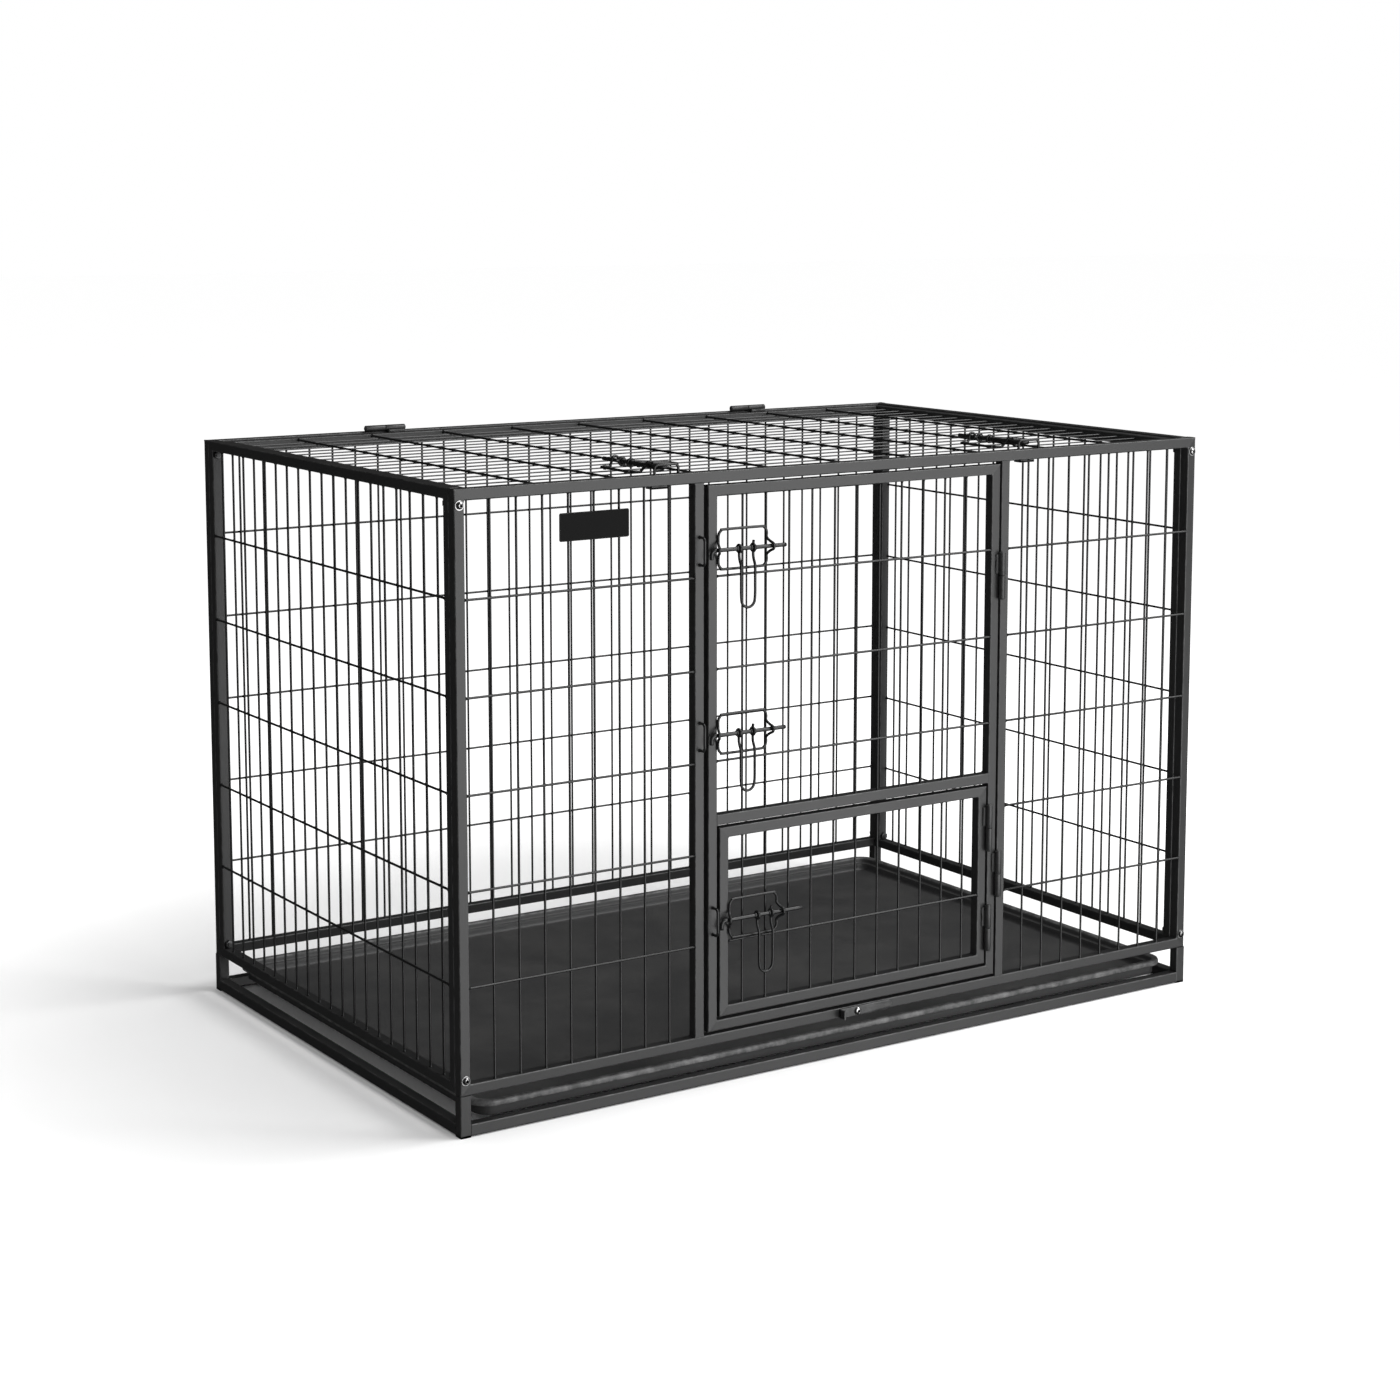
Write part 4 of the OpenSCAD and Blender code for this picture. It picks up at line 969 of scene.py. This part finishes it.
def bolt_collars(out):
    """Four pressed collars, one on each side of each of the pull's eyes."""
    profile = [(-1, 2.6), (-1, 3.35), (-0.65, 3.8), (0.65, 3.8), (1, 3.35), (1, 2.6)]
    collars = []
    for eye in (-1, 1):
        for side in (-1, 1):
            x = eye * PULL_W / 2 + side * (EYE_EDGE + 1)
            hoop = place([x * MM, 0, out * MM], Y, Z, X)
            collars.append(turned(profile, hoop, worn_and_lit=0.5, sides=20))
    return collars


def pull_loop(out, lie, reach):
    """A long U whose arms jog outwards below the bolt, and an eye on each arm. One arm's end
    stands up past its eye. lie turns the U round the bolt towards the face, in degrees."""
    half, r = PULL_W / 2, PULL_W / 2 - 0.5
    low = -PULL_L + LATCH_R + r
    jog = [(-EYE_R, 0.0), (-10, 0.02), (-13.5, 0.16), (-17, 0.45), (-20.5, 0.8), (-24, 0.97),
           (-28, 1.0), (-45, 1.0), (low + 8, 1.0)]
    left = [[-half, y, reach * k] for y, k in jog]
    right = [[half, y, k] for _, y, k in left[::-1]]
    bow = [[x, y, reach] for x, y, _ in turn_points(0, low, 0, r, 180, 360, 8)]
    path = smooth(left + bow + right, 3)
    aside = [0.05, 0.1, 1.0]
    wires = [swept_wire(path, end_taper(len(path), LATCH_R, (0.9, 1.0)), aside)]
    spin = 2 * math.pi * np.arange(22) / 22
    for x in (-half, half):
        eye = np.stack([np.full(22, x), EYE_R * np.sin(spin), EYE_R * np.cos(spin)], -1)
        wires.append(swept_wire(eye, LATCH_R, [1, 0, 0], loop=True, worn_and_lit=0.35))
    tail = with_ends([[half, EYE_R - 0.6, 0.1], [half + 0.2, EYE_R + 2.4, 0.3],
                      [half + 0.3, EYE_R + 5.2, 0.7]], 0.5)
    wires.append(swept_wire(tail, end_taper(len(tail), LATCH_R), aside, worn_and_lit=0.5))
    tilt = math.radians(lie)
    turn = place([0, 0, out * MM], X, [0, math.cos(tilt), math.sin(tilt)],
                 [0, -math.sin(tilt), math.cos(tilt)])
    return [stand(w, turn) for w in wires]


# %% The five latches
face_y = CORNER[1]
latches = {}
for name in ("upper", "middle", "small", "lid_left", "lid_right"):
    pivot = pivots[f"{name}_pull_swing"]
    if name.startswith("lid"):
        sheet = place([pivot[0], pivot[1], LID_TOP], Y, -X, Z)
        out = (pivot[2] - LID_TOP) / MM
    else:
        sheet = place([pivot[0], face_y, pivot[2]], X, Z, -Y)
        out = (face_y - pivot[1]) / MM
    low, high = flat_box(f"{name}_bolt", sheet) / MM
    latches[name] = (sheet, out, low[0] + BOLT_R, high[0])
    bolt = [slide_bolt(low[0] + BOLT_R, high[0], out)] + bolt_collars(out)
    piece(f"{name}_slide_bolt", [stand(s, sheet) for s in bolt], DARKENED_WIRE_PAINT, "steel_wire",
          f"{name}_bolt", f"{name}_bolt")
    lie, reach = (5.0, 0.6) if name.startswith("lid") else (0.0, 4.8)
    piece(f"{name}_pull_loop", [stand(s, sheet) for s in pull_loop(out, lie, reach)],
          DARKENED_WIRE_PAINT, "steel_wire", f"{name}_pull", f"{name}_pull")
print("latches:", {k: np.round(v[1:], 2).tolist() for k, v in latches.items()})

# %% Their guides and keepers
guide_sets = {"main_latch_guides": ("main_door", ("upper", "middle"), -40),
              "small_latch_guide": ("small_door", ("small",), -52),
              "lid_latch_guides": ("lid", ("lid_left", "lid_right"), -52)}
keeper_sets = {"main_latch_keepers": ("root", ("upper", "middle"), 0),
               "small_latch_keeper": ("main_door", ("small",), 0),
               "lid_latch_keepers": ("root", ("lid_left", "lid_right"), 2)}
for node_name, (body, names, start) in guide_sets.items():
    loops = []
    for name in names:
        sheet, out = latches[name][:2]
        loops.append(stand(guide_loop(start, out), sheet))
        for u in (start + 12, start + GUIDE_L - 12):
            for v in (-GUIDE_H / 2, GUIDE_H / 2):
                loops.append(weld_bead(sheet, [u - 3, v, 0.4], [u + 3, v, 0.4], 1.3))
    piece(f"{node_name}_bent", loops, DARKENED_WIRE_PAINT, "steel_wire", body, node_name)
for node_name, (body, names, foot) in keeper_sets.items():
    staples = []
    for name in names:
        sheet, out = latches[name][:2]
        low, high = flat_box(node_name, sheet) / MM
        x = (low[0] + high[0]) / 2
        staples.append(stand(keeper_staple(x, out, foot), sheet))
    piece(f"{node_name}_bent", staples, DARKENED_WIRE_PAINT, "steel_wire", body, node_name)
print("guides and keepers:", made[-6:])

# %% [markdown]
# ## Bolts, washers and nuts
# The corners are held by button-head screws with a hex socket, bare zinc on the black paint.
# The head's crown is an ellipse, and the socket is cut as a ring of six that goes back down.

# %% Corner fasteners
HEAD_R, HEAD_H, WASHER_T = 5.0, 3.2, 1.2


def button_screw(sheet, at, long):
    """On a sheet whose third axis points out of the head: shank, crown, and a hex socket. The
    crown's radius is R cos t at height H sin t, and the socket's rings are hexagons."""
    t = np.linspace(0, 1, 6) * math.radians(62)
    crown = [(WASHER_T + HEAD_H * math.sin(a) / math.sin(t[-1]), HEAD_R * math.cos(a))
             for a in t]
    crown = [(WASHER_T, 4.4), (WASHER_T + 0.05, HEAD_R - 0.15)] + crown[1:]
    profile = np.array([(-long, 2.0), (-long + 1.2, 3.0), (WASHER_T, 3.0)] + crown)
    sides, top = 36, WASHER_T + HEAD_H
    angle = 2 * math.pi * np.arange(sides) / sides
    hexed = 1 / np.cos((angle + math.pi / 6) % (math.pi / 3) - math.pi / 6)
    radii = profile[:, 1:] * np.ones(sides)
    heights = profile[:, 0]
    socket = [(top, 2.32), (top - 0.1, 2.1), (top - 2.2, 2.1), (top - 4.2, 0.3)]
    radii = np.concatenate([radii, [r * hexed for _, r in socket]])
    heights = np.concatenate([heights, [h for h, _ in socket]])
    hoop = np.stack([np.cos(angle), np.sin(angle)], -1)
    rings = np.concatenate([radii[..., None] * hoop,
                            np.broadcast_to(heights[:, None, None], radii.shape + (1,))], -1)
    # Painted shade: the crown takes full value and the socket none, so the socket is painted
    # dark.
    rubbed_and_lit = np.concatenate([np.ones(len(profile)), [0.6, 0, 0, 0]])[:, None]
    return stand(skin(at + rings * MM, rubbed_and_lit), sheet)


def faced_nut(sheet, at, across, high):
    """A hexagon with its corners eased at both faces, over a short stub of the screw."""
    r = across / math.sqrt(3)
    profile = [(0, 0.9 * r), (0.35, r), (high - 0.35, r), (high, 0.9 * r), (high, 3.3)]
    return [turned(profile, sheet, at, sides=6, phase=0.5, worn_and_lit=0.5),
            turned([(high - 0.2, 2.9), (high + 0.9, 2.9), (high + 1.3, 2.4)], sheet, at)]


screw_sets = {"front": place([0, front_low[1], 0], X, Z, -Y),
              "back": place([0, back_high[1], 0], -X, Z, Y)}
washers, nuts = [], []
for side, sheet in screw_sets.items():
    heads = []
    for low, high in solid_boxes(f"{side}_corner_bolts"):
        middle = (low + high) / 2
        middle[1] = sheet[0][1]
        at = (middle - sheet[0]) @ sheet[1].T
        long = (high[1] - low[1]) / MM - HEAD_H - WASHER_T
        heads.append(button_screw(sheet, at, long))
        washers.append(turned([(-0.02, 3.3), (-0.02, 6.0), (0.1, 6.25), (WASHER_T - 0.2, 6.25),
                               (WASHER_T, 6.05), (WASHER_T, 3.2)], sheet, at, sides=28, worn_and_lit=0.6))
    piece(f"{side}_corner_screws", heads, ZINC, "zinc_steel", "root",
          f"{side}_corner_bolts")
for low, high in solid_boxes("corner_nuts"):
    inwards = -np.sign((low + high)[1]) * Y
    base = (low + high) / 2 - inwards * (high[1] - low[1]) / 2
    nuts += faced_nut(place(base, X, Z, inwards), [0, 0, 0], 10.0, (high[1] - low[1]) / MM)
piece("corner_washer_rings", washers, ZINC, "zinc_steel", "root", "corner_washers")
piece("corner_hex_nuts", nuts, SHADED_NUT_ZINC, "zinc_steel", "root", "corner_nuts")
studs = []
for low, high in solid_boxes("base_studs"):
    long = (high[2] - low[2]) / MM
    thread = [(h, 3.75 + 0.22 * (k % 2)) for k, h in enumerate(np.arange(0.8, long - 0.6, 0.6))]
    profile = [(0, 3.1)] + thread + [(long, 3.1)]
    studs.append(turned(profile, place((low + high) / 2 * [1, 1, 0] + low * Z, X, Y, Z)))
piece("base_corner_studs", studs, ZINC, "zinc_steel", "root", "base_studs")
print("fasteners:", made[-5:])

# %% [markdown]
# ## Tray stop
# A pressed tab turns on a bright screw in the middle of the front rail. Its long arm hangs down
# in front of the tray's lip to keep the tray in, and a small lip at the other end is the finger
# hold. At rest it lies along the rail, out of the tray's way.

# %% The tab and its screw
stop_pivot = pivots["tray_stop_pivot"]
STOP = place([stop_pivot[0], CORNER[1], stop_pivot[2]], X, Z, -Y)
stop_low, stop_high = flat_box("tray_stop_tab", STOP) / MM
TAB_EASE = 0.5


def tab_plate(low, high, near, far, half):
    """A flat arm with one round end. Its outline is a half circle at the far end and two eased
    corners at the near end, and rings step through the thickness with an eased edge e:
    inset e at the faces and none between."""
    edge = TAB_EASE
    bow = np.radians(np.linspace(-90, 90, 13))
    outline = np.concatenate([np.stack([far - half + half * np.cos(bow), half * np.sin(bow)], -1),
                              [[near + 1.2, half], [near + 0.3, half - 0.3], [near, half - 1.2],
                               [near, 1.2 - half], [near + 0.3, 0.3 - half],
                               [near + 1.2, -half]]])
    centre = outline.mean(0)
    steps = [(low, edge), (low + edge, 0), (high - edge, 0), (high, edge)]
    rings = []
    for height, inset in steps:
        pull_in = 1 - inset / np.maximum(np.abs(outline - centre), 4)
        flat = centre + (outline - centre) * pull_in
        rings.append(np.concatenate([flat, np.full((len(flat), 1), height)], 1))
    return skin(np.array(rings) * MM, np.array([0.5, 1, 1, 0.5])[:, None])


half_w = (stop_high[1] - stop_low[1]) / 2
tab = [tab_plate(1.5, 4.0, stop_low[0], stop_high[0], half_w)]
LIP_T, LIP_IN = 2.5, 0.4
lip = np.array([[stop_low[0], -half_w + LIP_IN, 1.7],
                [stop_low[0] + LIP_T, half_w - LIP_IN, stop_high[2]]]) * MM
tab.append(bar(lip, 2, radius=0.9 * MM, fillet=0))
piece("tray_stop_pressed_tab", [stand(s, STOP) for s in tab], TUBE_PAINT, "steel_tube",
      "tray_stop", "tray_stop_tab")
top = flat_box("tray_stop_bolt", STOP)[1][2] / MM
crown = [(0, 2.9), (4.1, 2.9), (4.15, 5.3), (4.5, 5.5), (5.4, 5.3), (6.3, 4.5), (6.9, 3.5),
         (top, 2.5), (top - 0.1, 2.25), (top - 2.0, 2.2), (top - 4.2, 0.3)]
# Painted shade: the crown takes full value and the socket none, so the socket is painted dark.
crown_lit_socket_shaded = np.array([1.0] * 8 + [0.6, 0.0, 0.0])
piece("tray_stop_screw", [turned(crown, STOP, sides=32, worn_and_lit=crown_lit_socket_shaded)], ZINC, "zinc_steel",
      "root", "tray_stop_bolt")

# %% [markdown]
# ## Name plate
# A thin pressed plate is fixed to the outside of the wire, high in the left bay. It is left
# blank: a pillow-edged rectangle in flat black, with a fine step round its border.

# %% The blank plate
def pillow_plate(box, steps, radius):
    """A round-cornered plate from rings of one outline. Each step is (inset, depth), and an
    outline inset by s has corners of radius r - s."""
    low, high = box
    bow = np.radians(np.linspace(0, 90, 7))
    rings = []
    for inset, depth in steps:
        r = max(radius - inset, 0.12 * radius)
        corner = np.array([[high[0] - inset - r, high[1] - inset - r],
                           [low[0] + inset + r, high[1] - inset - r],
                           [low[0] + inset + r, low[1] + inset + r],
                           [high[0] - inset - r, low[1] + inset + r]])
        angle = bow[None] + np.radians([0, 90, 180, 270])[:, None]
        flat = corner[:, None] + r * np.stack([np.cos(angle), np.sin(angle)], -1)
        flat = flat.reshape(-1, 2)
        rings.append(np.concatenate([flat, np.full((len(flat), 1), depth)], 1))
    return np.array(rings)


plate_low, plate_high = flat_box("name_plate", FRONT)
face_at = plate_low[2]
plate_steps = [(3.2, 1.2), (0.4, 1.2), (0.0, 0.9), (0.0, 0.45), (0.15, 0.2), (0.5, 0.02),
               (1.9, 0.0), (2.1, 0.12), (2.5, 0.16), (3.4, 0.16)]
plate_steps = [(i * MM, face_at + d * MM) for i, d in plate_steps]
plate_rings = pillow_plate((plate_low, plate_high), plate_steps, 2.4 * MM)
plate_worn = np.array([0, 0, 0.8, 0.8, 1, 0.5, 0, 0, 0, 0])[:, None]
piece("blank_name_plate", [stand(skin(plate_rings, plate_worn), FRONT)], PLATE_PAINT,
      "plate_black", "root", "name_plate")
print("plate:", made[-1])

# %% [markdown]
# ## Tray
# The tray is one vacuum-formed sheet. From the outside it rises in a skirt, rolls over a lip,
# and comes down in two soft steps to a wide flat floor. Every height is the same round-cornered
# outline moved inwards, so the tray is rings of outlines, from the underside round to the floor.

# %% The tray
TRAY_R, TRAY_LEAST_R, TRAY_BOW_STEPS = 30, 9.0, 12
TRAY_PROFILE = [
    (19.0, 0.0), (10.2, 0.0), (9.0, 0.35), (8.5, 1.2), (8.5, 12.6), (8.2, 13.4), (7.4, 13.8),
    (1.6, 13.9), (0.7, 14.1), (0.15, 14.7), (0.0, 15.6), (0.0, 18.6), (0.25, 19.9),
    (1.0, 21.1), (2.2, 21.8), (3.4, 22.0), (6.6, 22.0), (7.8, 21.8), (9.0, 21.2), (9.9, 20.2),
    (10.5, 18.8), (10.9, 17.2), (11.0, 15.0), (11.6, 14.0), (12.8, 13.5), (14.6, 13.3),
    (15.6, 12.8), (16.1, 11.6), (16.3, 8.0), (16.8, 5.4), (18.0, 3.6), (20.0, 2.75),
    (23.5, 2.5), (60.0, 2.5)]
tray_low, tray_high = crate["tray"]


def tray_rings(profile, radius):
    """Rings of a round-cornered rectangle, each inset and raised by one profile step. Beyond
    the outline's own radius the corners keep a small radius of their own."""
    bow = np.radians(np.linspace(0, 90, TRAY_BOW_STEPS + 1))
    rings = []
    for inset, height in profile:
        r = max(radius - inset, TRAY_LEAST_R) * MM
        low = tray_low[:2] + inset * MM + r
        high = tray_high[:2] - inset * MM - r
        corner = np.array([[high[0], high[1]], [low[0], high[1]], [low[0], low[1]],
                           [high[0], low[1]]])
        angle = bow[None] + np.radians([0, 90, 180, 270])[:, None]
        flat = corner[:, None] + r * np.stack([np.cos(angle), np.sin(angle)], -1)
        flat = flat.reshape(-1, 2)
        rings.append(np.concatenate(
            [flat, np.full((len(flat), 1), tray_low[2] + height * MM)], 1))
    return np.array(rings)


tray_worn = np.array([0.9 if 0 <= inset < 10 and height > 13.5 else 0.0
                      for inset, height in TRAY_PROFILE])[:, None]
piece("formed_tray", [skin(tray_rings(TRAY_PROFILE, TRAY_R), tray_worn)], TRAY_PLASTIC,
      "tray_plastic", "tray", "tray")
print("tray:", made[-1], "total triangles:", sum(count for _, count in made))

# %% [markdown]
# ## Floor
# The floor is one wide pale sheet. It isn't part of the crate. It takes the crate's shadow close
# by, and further out it glows a little when seen directly, so that it runs out to white. The
# glow depends only on the distance from the crate's middle, not on where it is seen from.

# %% Floor
FLOOR_REACH = 30.0
GLOW_FROM, GLOW_TO, GLOW = 0.7, 1.5, 0.5
floor_mesh = bpy.data.meshes.new("studio_floor")
floor_mesh.from_pydata([(FLOOR_REACH * u, FLOOR_REACH * v, 0)
                        for u, v in ((-1, -1), (1, -1), (1, 1), (-1, 1))], [], [(0, 1, 2, 3)])
floor = bpy.data.objects.new("studio_floor", floor_mesh)
bpy.context.scene.collection.objects.link(floor)
floor_paint = bpy.data.materials.new("Pale floor")
floor_paint.use_nodes = True
floor_tree = floor_paint.node_tree
floor_shader = floor_tree.nodes["Principled BSDF"]
floor_shader.inputs["Roughness"].default_value = 0.9
floor_shader.inputs["Specular IOR Level"].default_value = 0.1
speck = node(floor_tree, "ShaderNodeTexNoise", Scale=3.0, Detail=2.0)
speck_place = node(floor_tree, "ShaderNodeTexCoord").outputs["Object"]
link(floor_tree, speck_place, speck.inputs["Vector"])
link(floor_tree, mixed(floor_tree, speck.outputs["Fac"],
     grey(0.93), grey(0.95)), floor_shader.inputs["Base Color"])
glow = node(floor_tree, "ShaderNodeMath", operation="MULTIPLY")
seen = node(floor_tree, "ShaderNodeLightPath").outputs["Is Camera Ray"]
distance = node(floor_tree, "ShaderNodeVectorMath", operation="LENGTH")
far_glow = node(floor_tree, "ShaderNodeMapRange", interpolation_type="SMOOTHSTEP",
                From_Min=GLOW_FROM, From_Max=GLOW_TO, To_Min=0.0, To_Max=GLOW)
link(floor_tree, speck_place, distance.inputs[0])
link(floor_tree, distance.outputs["Value"], far_glow.inputs["Value"])
link(floor_tree, seen, glow.inputs[0])
link(floor_tree, far_glow.outputs["Result"], glow.inputs[1])
link(floor_tree, glow.outputs[0], floor_shader.inputs["Emission Strength"])
floor_shader.inputs["Emission Color"].default_value = grey(1.0)
floor_mesh.materials.append(floor_paint)
floor.visible_glossy = False
floor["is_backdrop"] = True
print("floor:", 2 * FLOOR_REACH, "m across, glow from", GLOW_FROM, "to", GLOW_TO, "m")

# %% [markdown]
# ## Camera
# The crate is seen from its front left, from a little above the lid and looking slightly down.
# A long lens keeps the upright lines nearly parallel, and a small shift places the crate in the
# frame without tilting the camera further.

# %% Camera
LOOK_DOWN, TURN_RIGHT = 0.1289, 0.5820
camera_data = bpy.data.cameras.new("camera")
camera_data.lens = 69.30
camera_data.sensor_width = 36.0
camera_data.shift_y = -0.12
camera = bpy.data.objects.new("camera", camera_data)
camera.location = (-2.1409, -3.2481, 1.1839)
camera.rotation_euler = (math.pi / 2 - LOOK_DOWN, 0.0, -TURN_RIGHT)
bpy.context.scene.collection.objects.link(camera)
bpy.context.scene.camera = camera
print("camera:", camera_data.lens, "mm lens at", [round(v, 3) for v in camera.location])

# %% [markdown]
# ## Light
# A white world fills from everywhere. Black satin paint shows its shape only by what it
# reflects, so glossy rays see a much darker world, and one large soft panel stands where the
# front faces mirror it. A second panel gives the floor its faint shadow.

# %% World and panels
world = bpy.data.worlds.new("studio")
world.use_nodes = True
bpy.context.scene.world = world
tree = world.node_tree
path_kind = node(tree, "ShaderNodeLightPath")
back = tree.nodes["Background"]
strength = node(tree, "ShaderNodeMix")
glossy = node(tree, "ShaderNodeMix")
FILL, MIRRORED, SEEN = 0.55, 0.035, 1.0
glossy.inputs["A"].default_value = FILL
glossy.inputs["B"].default_value = MIRRORED
strength.inputs["B"].default_value = SEEN
link(tree, path_kind.outputs["Is Glossy Ray"], glossy.inputs["Factor"])
link(tree, path_kind.outputs["Is Camera Ray"], strength.inputs["Factor"])
link(tree, glossy.outputs["Result"], strength.inputs["A"])
link(tree, strength.outputs["Result"], back.inputs["Strength"])
back.inputs["Color"].default_value = (1.0, 1.0, 1.0, 1.0)


def panel(name, at, toward, width, height, watts):
    """A soft rectangular light that faces a point and isn't seen itself."""
    lamp = bpy.data.lights.new(name, "AREA")
    lamp.shape = "RECTANGLE"
    lamp.size, lamp.size_y, lamp.energy = width, height, watts
    thing = bpy.data.objects.new(name, lamp)
    ahead = np.array(toward, float) - np.array(at, float)
    flat = math.hypot(ahead[0], ahead[1])
    thing.location = at
    thing.rotation_euler = (math.pi / 2 + math.atan2(ahead[2], flat), 0.0,
                            math.atan2(ahead[1], ahead[0]) - math.pi / 2)
    thing.visible_camera = False
    bpy.context.scene.collection.objects.link(thing)
    return thing


panel("front_panel", (0.62, -2.35, 0.4), (-0.1, -0.38, 0.4), 2.7, 2.6, 80.0)
panel("high_key", (2.0, -1.2, 3.6), (0.0, 0.0, 0.2), 2.2, 2.2, 125.0)
bpy.context.scene.view_settings.view_transform = "Standard"

# %% [markdown]
# ## Check the size
# The dressed crate must stay inside the plain one's box, but for a little. What stands out is
# the foot plugs' plates: they are thinner than a bar's end rings reach, so their rings cross
# and go a millimetre and a half below the floor. That is a known fault of these four plates.

# %% Size
visual_box = [list(corner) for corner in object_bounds()]
grown = np.abs(np.array(visual_box) - np.array(cad_box)).max()
print("largest growth:", round(grown / MM, 2), "mm")
